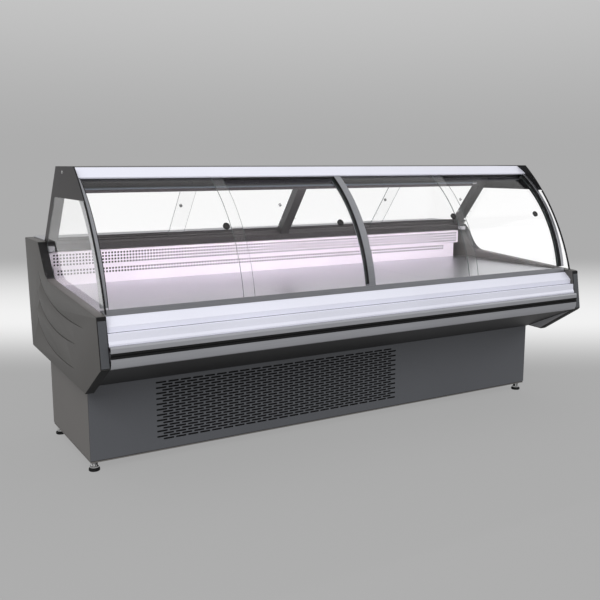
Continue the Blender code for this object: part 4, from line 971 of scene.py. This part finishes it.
class DELI_OT_canopy(DeliOperator):
    """Canopy: roof, white front, dark sides with caps and bolts, lamp tube with its holders"""

    bl_idname = "deli.canopy"
    bl_label = "Canopy"

    def execute(self, context):
        softened("canopy_shell", "canopy_roof", 0.6 * MM, "canopy_dark")
        softened("canopy_front", "canopy_fascia", 0.8 * MM, "white_steel")
        for side, name in SIDES:
            node = "canopy_side_" + name
            low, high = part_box(node)
            outer = high.x if side > 0 else -low.x
            shape = round_edges(copied(node), 0.8 * MM)
            for face in shape.faces:
                face.material_index = 0 if face.normal.x * side > 0.5 else 1
            piece("canopy_cheek_" + name, shape, ["canopy_dark", "rubber"],
                  replaces=[node])

            head = [(0.0, 0.0), (7 * MM, 0.0), (7 * MM, 1.0 * MM), (5.5 * MM, 2.6 * MM), (2.2 * MM, 3.2 * MM),
                    (2.2 * MM, 2.0 * MM), (0.0, 2.0 * MM)]
            place = Matrix.Translation((side * outer, -0.018, high.z - 0.024))
            turn = Matrix.Rotation(side * math.pi / 2, 4, "Y")
            piece("canopy_bolt_" + name, turned(bmesh.new(), head, place @ turn, 24), ["chrome"])

        low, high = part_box("canopy_lamp")
        middle = (low + high) / 2
        tube = 4.5 * MM
        rings = [(tube * math.cos(i * math.pi / 8), tube * math.sin(i * math.pi / 8)) for i in range(16)]
        shape = extruded(bmesh.new(), [(middle.y + a, middle.z + b) for a, b in rings], low.x, high.x)
        piece("lamp_tube", shape, ["lamp_cover"], replaces=["canopy_lamp"])
        across = Matrix.Rotation(math.pi / 2, 4, "Y")
        radius = 8.5 * MM
        holder = [(0.0, -12 * MM), (radius * 0.8, -12 * MM), (radius, -9 * MM), (radius, 9 * MM),
                  (radius * 0.8, 12 * MM), (0.0, 12 * MM)]
        for side, name in SIDES:
            place = Matrix.Translation((side * (high.x + 8 * MM), middle.y, middle.z)) @ across
            piece("lamp_holder_" + name, turned(bmesh.new(), holder, place), ["end_plate"])
        return {"FINISHED"}


class DELI_OT_rear(DeliOperator):
    """Staff side above the worktop: posts, sill, flat sliding panes with small pulls, end glasses"""

    bl_idname = "deli.rear"
    bl_label = "Rear Glass"

    def execute(self, context):
        s = sizes()
        for name in ("left", "middle", "right"):
            softened("post_" + name, "rear_post_" + name, 0.8 * MM, "canopy_dark")
        softened("sill", "rear_sill", 0.5 * MM, "canopy_dark")
        for number in (1, 2, 3, 4):
            node = "rear_pane_%d" % number
            shape = copied(node)
            edge_faces(shape, 0)
            see_through(piece("flat_pane_%d" % number, shape, ["glass", "glass_edge"], body_of(node),
                              [node]))
            low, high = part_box(node)
            slope = Vector((0, high.y - low.y, -(high.z - low.z))).normalized()
            out = Vector((0, slope.z, -slope.y)) * -1
            share = 0.60
            seat = Vector((high.x - 0.055, high.y + (low.y - high.y) * share,
                           low.z + (high.z - low.z) * share))
            place = Matrix.Translation(seat) @ out.to_track_quat("Z", "X").to_matrix().to_4x4()
            back, front = (3.6 * MM, 9 * MM) if number % 2 else (9 * MM, 3.6 * MM)
            knob = [(0.0, -back), (6.5 * MM, -back), (7 * MM, -back + 0.6 * MM), (7 * MM, -2.9 * MM),
                    (4 * MM, -2.8 * MM), (4 * MM, 2.8 * MM), (7 * MM, 2.9 * MM),
                    (7 * MM, front - 0.6 * MM), (6.5 * MM, front), (0.0, front)]
            piece("rear_pull_%d" % number, turned(bmesh.new(), knob, place, 24), ["chrome"],
                  body_of(node))
        for side, name in SIDES:
            node = "end_glass_" + name
            shape = copied(node)
            for face in shape.faces:
                if abs(face.normal.x) < 0.5:
                    face.material_index = 2 if face.normal.y < -0.5 else 1
            see_through(piece("end_pane_" + name, shape, ["glass", "glass_edge", "black_steel"], CABINET,
                              [node], sharp=20.0))
            low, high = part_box(node)
            near, far = sorted((abs(low.x), abs(high.x)))
            outline, out = Arc("outline"), s.outline_proud
            seal = rectangle(near - 0.2 * MM, far + 0.2 * MM, -s.edge_seal, 0.6 * MM, 0.3 * MM)
            lines = outline.stations(low.z + 16 * MM, high.z - 1 * MM, out)
            piece("end_edge_" + name, swept(bmesh.new(), mirrored(seal, side), lines), ["rubber"])
            sill_low, sill_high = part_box("rear_sill")
            edge = sill_high.x - 3 * MM
            bracket = bmesh.new()
            x_low, x_high = sorted((side * (edge - 0.026), side * edge))
            brick(bracket, (x_low, sill_low.y - 0.034, sill_low.z + 2 * MM),
                  (x_high, sill_low.y - 1 * MM, sill_low.z + 0.026), 2 * MM, 3)
            piece("sill_bracket_" + name, bracket, ["end_plate"])
        return {"FINISHED"}


class DELI_OT_display(DeliOperator):
    """Display: liner, perforated air ducts with black sheets behind them as painted shade, deck plates"""

    bl_idname = "deli.display"
    bl_label = "Display Deck"

    def execute(self, context):
        s = sizes()
        pitch, wide = s.hole_pitch, s.hole_width
        softened("liner", "insulated_tub", 1.0 * MM, "foam_tub", material="duct_steel")

        low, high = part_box("duct_upper")
        skin, sheet = 2.5 * MM, 1.0 * MM
        x_low = low.x - 0.034
        columns = int((high.x - x_low - 0.020) / pitch)
        x_lines = spaced(x_low, high.x, pitch, wide, columns)
        z_lines = spaced(low.z + 1 * MM, high.z - 2 * MM, pitch, wide, 4)
        z_lines = [low.z] + z_lines[1:-1] + [high.z - skin]
        # The hole walls of both duct faces are black: painted shade.
        piece("duct_face_upper", painted_shade_rims(holed_sheet(x_lines, z_lines, low.y, sheet)),
              ["duct_steel", "rubber"], replaces=["duct_upper"])
        block("duct_ledge", (x_low, low.y, high.z - skin + 0.05 * MM), high, 0.8 * MM, "duct_steel")

        low_2, high_2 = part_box("duct_lower")
        face = high_2.y - skin
        x_low_2 = low_2.x - 0.056
        columns = int((high_2.x - x_low_2 - 0.075) / pitch)
        x_lines = spaced(x_low_2, high_2.x, pitch, wide, columns, x_low_2 + 0.018)
        z_lines = spaced(high_2.z - 2.6 * pitch, high_2.z - 0.4 * pitch, pitch, wide, 2)
        z_lines = [low_2.z + 3 * MM] + z_lines[1:-1] + [high_2.z]
        piece("duct_face_lower", painted_shade_rims(holed_sheet(x_lines, z_lines, face, sheet)),
              ["duct_steel", "rubber"], replaces=["duct_lower"])
        block("duct_foot", (x_low_2, low_2.y, low_2.z), (high_2.x, high_2.y, low_2.z + skin), 0.8 * MM,
              "duct_steel")

        # Black sheets behind the duct holes: painted shade, standing in for the dark inside the ducts.
        hole_shade_sheets = bmesh.new()
        for near, far, y, z_low, z_high in (
                (x_low + 1 * MM, high.x - 1 * MM, low.y + sheet, low.z + 1 * MM, high.z - skin - 1 * MM),
                (x_low_2 + 1 * MM, high_2.x - 1 * MM, face + sheet, low_2.z + 3 * MM, high_2.z - 1 * MM)):
            y += 0.6 * MM
            brick(hole_shade_sheets, (near, y, z_low), (far, y + 1 * MM, z_high), 0.3 * MM)
        piece("duct_backing", hole_shade_sheets, ["rubber"])

        for name in ("left", "middle", "right"):
            softened("deck_" + name, "deck_plate_" + name, 0.9 * MM, "stainless")
        return {"FINISHED"}


class DELI_OT_staff_side(DeliOperator):
    """Staff side: worktop, panel with its seams and screws, controller, light switch"""

    bl_idname = "deli.staff_side"
    bl_label = "Staff Side"

    def execute(self, context):
        softened("counter_top", "worktop", 2.0 * MM, "stainless", 3)
        low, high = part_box("rear_panel")
        count, gap = 3, 1.2 * MM
        width = (high.x - low.x) / count
        shape = bmesh.new()
        for index in range(count):
            start = low.x + width * index
            brick(shape, (start + (gap if index else 0), low.y, low.z),
                  (start + width - (gap if index < count - 1 else 0), high.y, high.z), 1.0 * MM)
        piece("rear_panels", shape, ["side_steel"], replaces=["rear_panel"])

        back = Matrix.Rotation(-math.pi / 2, 4, "X")
        head = [(0.0, 0.0), (5 * MM, 0.0), (5 * MM, 0.8 * MM), (3.2 * MM, 2.2 * MM), (0.0, 2.6 * MM)]
        screws = bmesh.new()
        for index in range(count):
            for share in (0.04, 0.96):
                for z in (low.z + 0.025, high.z - 0.025):
                    place = Matrix.Translation((low.x + width * (index + share), high.y, z)) @ back
                    turned(screws, head, place, 16)
        piece("rear_screws", screws, ["chrome"])

        low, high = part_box("controller")
        keep("fan_plastic", "controller")
        middle = (low.z + high.z) / 2
        block("controller_window", (low.x + 0.012, high.y, middle - 0.016),
              (low.x + 0.078, high.y + 1.5 * MM, middle + 0.020), 0.7 * MM, "black_steel")
        digits = bmesh.new()
        face = high.y + 1.5 * MM
        for place in (0.022, 0.044):
            x = low.x + place
            for dx, dz, w, h in ((0, 0.011, 0.012, 0.002), (0, 0, 0.012, 0.002), (0, -0.011, 0.012, 0.002),
                                 (-0.001, 0.0015, 0.002, 0.009), (0.011, -0.0095, 0.002, 0.009)):
                z = middle + 0.002 + dz
                brick(digits, (x + dx, face, z), (x + dx + w, face + 0.4 * MM, z + h))
        piece("controller_digits", digits, ["display"])
        keys = bmesh.new()
        for index in range(3):
            x = low.x + 0.020 + 0.022 * index
            brick(keys, (x, high.y, low.z + 0.006), (x + 0.012, high.y + 1.8 * MM, low.z + 0.012), 0.7 * MM)
        piece("controller_keys", keys, ["end_plate"])
        softened("rocker", "light_switch", 1.0 * MM, "rubber")
        return {"FINISHED"}


class DELI_OT_machinery(DeliOperator):
    """Refrigeration: compressor, coils, shroud and fans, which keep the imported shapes"""

    bl_idname = "deli.machinery"
    bl_label = "Refrigeration"

    def execute(self, context):
        keep("compressor_enamel", "compressor")
        keep("fins", "condenser_coil", "evaporator_coil")
        keep("black_steel", "condenser_shroud")
        keep("duct_steel", "evaporator_fan_plate")
        keep("fan_plastic", "condenser_fan", "evaporator_fan_left", "evaporator_fan_right")
        return {"FINISHED"}


# ---------------------------------------------------------------- floor, lights and camera
def ramp(tree, source, low, high, first, second):
    """Mixes two colours while a value goes from low to high."""
    share = add(tree, "ShaderNodeMapRange", {"Value": source, "From Min": low, "From Max": high},
                interpolation_type="SMOOTHSTEP")
    return add(tree, "ShaderNodeMix", {0: (share, "Result"), 6: first, 7: second}, data_type="RGBA")


def studio_material(studio):
    """Cove that glows: grey by the case, a painted pool of light behind it, and grey again above; its glow is
    painted light standing in for a lit backdrop.
    """
    material = bpy.data.materials.new("painted_cove")
    material.use_nodes = True
    tree = material.node_tree
    tree.nodes.clear()
    place = add(tree, "ShaderNodeTexCoord")
    parts = add(tree, "ShaderNodeSeparateXYZ", {"Vector": (place, "Object")})
    flat = add(tree, "ShaderNodeCombineXYZ", {"X": (parts, "X"), "Y": (parts, "Y")})
    away = add(tree, "ShaderNodeVectorMath",
               {0: (flat, "Vector"), 1: (math.sin(studio.camera_turn), math.cos(studio.camera_turn), 0.0)},
               operation="DOT_PRODUCT")
    near = ramp(tree, (away, "Value"), 0.7, 2.4, studio.floor, studio.pool)
    far = ramp(tree, (away, "Value"), 2.4, 6.9, studio.pool, studio.backdrop)
    beyond = add(tree, "ShaderNodeMapRange", {"Value": (away, "Value"), "From Min": 2.5, "From Max": 3.0})
    ground = add(tree, "ShaderNodeMix", {0: (beyond, "Result"), 6: (near, 2), 7: (far, 2)},
                 data_type="RGBA")
    tall = ramp(tree, (parts, "Z"), 1.3, 4.4, studio.backdrop, studio.ceiling)
    upper = add(tree, "ShaderNodeMapRange", {"Value": (parts, "Z"), "From Min": 0.0, "From Max": 0.5})
    whole = add(tree, "ShaderNodeMix", {0: (upper, "Result"), 6: (ground, 2), 7: (tall, 2)},
                data_type="RGBA")
    share = add(tree, "ShaderNodeMapRange", {"Value": (away, "Value"), "From Min": 0.8, "From Max": 1.8,
                                            "To Min": 0.82}, interpolation_type="SMOOTHSTEP")
    glow = add(tree, "ShaderNodeEmission", {"Color": (whole, 2), "Strength": 1.0})
    matt = add(tree, "ShaderNodeBsdfDiffuse", {"Color": (whole, 2)})
    both = add(tree, "ShaderNodeMixShader", {0: (share, "Result"), 1: (matt, "BSDF"), 2: (glow, "Emission")})
    add(tree, "ShaderNodeOutputMaterial", {"Surface": (both, "Shader")})
    return material


def cove_part(name, profile, material):
    """A part of the stage, spun about the middle of the floor."""
    shape = bmesh.new()
    chain = [shape.verts.new((r, 0.0, z)) for r, z in profile]
    edges = [shape.edges.new(pair) for pair in zip(chain, chain[1:])]
    bmesh.ops.spin(shape, geom=chain + edges, cent=(0, 0, 0), axis=(0, 0, 1), angle=2 * math.pi,
                   steps=96, use_merge=True)
    bmesh.ops.remove_doubles(shape, verts=shape.verts, dist=0.1 * MM)
    bmesh.ops.recalc_face_normals(shape, faces=shape.faces)
    mesh = bpy.data.meshes.new(name)
    shape.to_mesh(mesh)
    shape.free()
    mesh.shade_smooth()
    mesh.materials.append(material)
    obj = bpy.data.objects.new(name, mesh)
    bpy.context.scene.collection.objects.link(obj)
    return obj


def white_card():
    """Even white light for the view through the glass."""
    material = bpy.data.materials.new("white_card")
    material.use_nodes = True
    tree = material.node_tree
    tree.nodes.clear()
    glow = add(tree, "ShaderNodeEmission", {"Color": (1.0, 1.0, 1.0, 1.0), "Strength": 1.0})
    add(tree, "ShaderNodeOutputMaterial", {"Surface": (glow, "Emission")})
    return material


class DELI_OT_stage(DeliOperator):
    """Stage: round cove, soft lights, the light under the canopy and the camera"""

    bl_idname = "deli.stage"
    bl_label = "Stage"

    def execute(self, context):
        studio = context.scene.deli_case_studio
        scene = context.scene
        radius, bend, tall = 9.0, 1.5, 6.0
        profile = [(0.0, 0.0), (3.0, 0.0), (radius - bend, 0.0)]
        for i in range(1, 9):
            turn = math.pi / 2 * i / 8
            profile.append((radius - bend + bend * math.sin(turn), bend - bend * math.cos(turn)))
        profile.append((radius, tall))
        cove_part("cove", profile, studio_material(studio))
        card = cove_part("white_card", [(3.1, 0.02), (3.1, 3.0)], white_card())
        for seen in ("camera", "diffuse", "glossy", "shadow", "volume_scatter"):
            setattr(card, "visible_" + seen, False)

        world = bpy.data.worlds.new("studio")
        world.use_nodes = True
        background = world.node_tree.nodes["Background"]
        background.inputs["Color"].default_value = (1.0, 1.0, 1.0, 1.0)
        background.inputs["Strength"].default_value = studio.sky
        scene.world = world

        def area(name, place, aim, width, height, power, tone):
            data = bpy.data.lights.new(name, "AREA")
            data.shape = "RECTANGLE"
            data.size, data.size_y = width, height
            data.energy = power
            data.color = tone
            obj = bpy.data.objects.new(name, data)
            obj.location = place
            obj.rotation_euler = (Vector(aim) - Vector(place)).to_track_quat("-Z", "Y").to_euler()
            obj.visible_camera = False
            scene.collection.objects.link(obj)
            return obj

        area("key_light", (-3.6, -4.6, 3.6), (0, 0, 0.6), 3.2, 2.4, studio.key_power, (1.0, 0.995, 0.985))
        area("fill_light", (4.8, -2.6, 2.6), (0, 0, 0.6), 2.4, 2.4, studio.fill_power, (0.97, 0.98, 1.0))
        low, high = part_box("canopy_lamp")
        middle = (low + high) / 2
        glow = area("case_light", (0, low.y - 0.012, middle.z - 0.004), (0, low.y - 0.02, 0.0),
                    high.x - low.x, 0.020, studio.lamp_power, (1.0, 0.92, 0.985))
        glow.visible_glossy = False

        camera = bpy.data.cameras.new("camera")
        camera.lens = studio.camera_lens
        camera.sensor_width = 36.0
        stand = bpy.data.objects.new("camera", camera)
        stand.location = studio.camera_place
        stand.rotation_euler = (math.pi / 2 - studio.camera_tilt, 0.0, -studio.camera_turn)
        scene.collection.objects.link(stand)
        scene.camera = stand
        scene.view_settings.view_transform = "Standard"
        return {"FINISHED"}


PIECES = (DELI_OT_plinth, DELI_OT_feet, DELI_OT_end_panels, DELI_OT_front, DELI_OT_front_glass,
          DELI_OT_canopy, DELI_OT_rear, DELI_OT_display, DELI_OT_staff_side, DELI_OT_machinery,
          DELI_OT_stage)


class DELI_PT_sidebar(bpy.types.Panel):
    """Lists the case's parts and settings"""

    bl_idname = "DELI_PT_sidebar"
    bl_label = "Refrigerated Deli Case"
    bl_space_type = "VIEW_3D"
    bl_region_type = "UI"
    bl_category = "Deli Case"

    def draw(self, context):
        layout = self.layout
        for operator in PIECES:
            layout.operator(operator.bl_idname)
        for group in (context.scene.deli_case_sizes, context.scene.deli_case_colours,
                      context.scene.deli_case_studio):
            box = layout.box()
            for name in group.__annotations__:
                box.prop(group, name)


GROUPS = (("deli_case_sizes", DeliCaseSizes), ("deli_case_colours", DeliCaseColours),
          ("deli_case_studio", DeliCaseStudio))
CLASSES = (DeliCaseSizes, DeliCaseColours, DeliCaseStudio, *PIECES, DELI_PT_sidebar)


def register():
    for cls in CLASSES:
        bpy.utils.register_class(cls)
    for name, group in GROUPS:
        setattr(bpy.types.Scene, name, PointerProperty(type=group))


def unregister():
    for name, group in GROUPS:
        delattr(bpy.types.Scene, name)
    for cls in reversed(CLASSES):
        bpy.utils.unregister_class(cls)


def main():
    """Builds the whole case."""
    register()
    for operator in PIECES:
        group, name = operator.bl_idname.split(".")
        getattr(getattr(bpy.ops, group), name)()


if __name__ == "__main__":
    main()
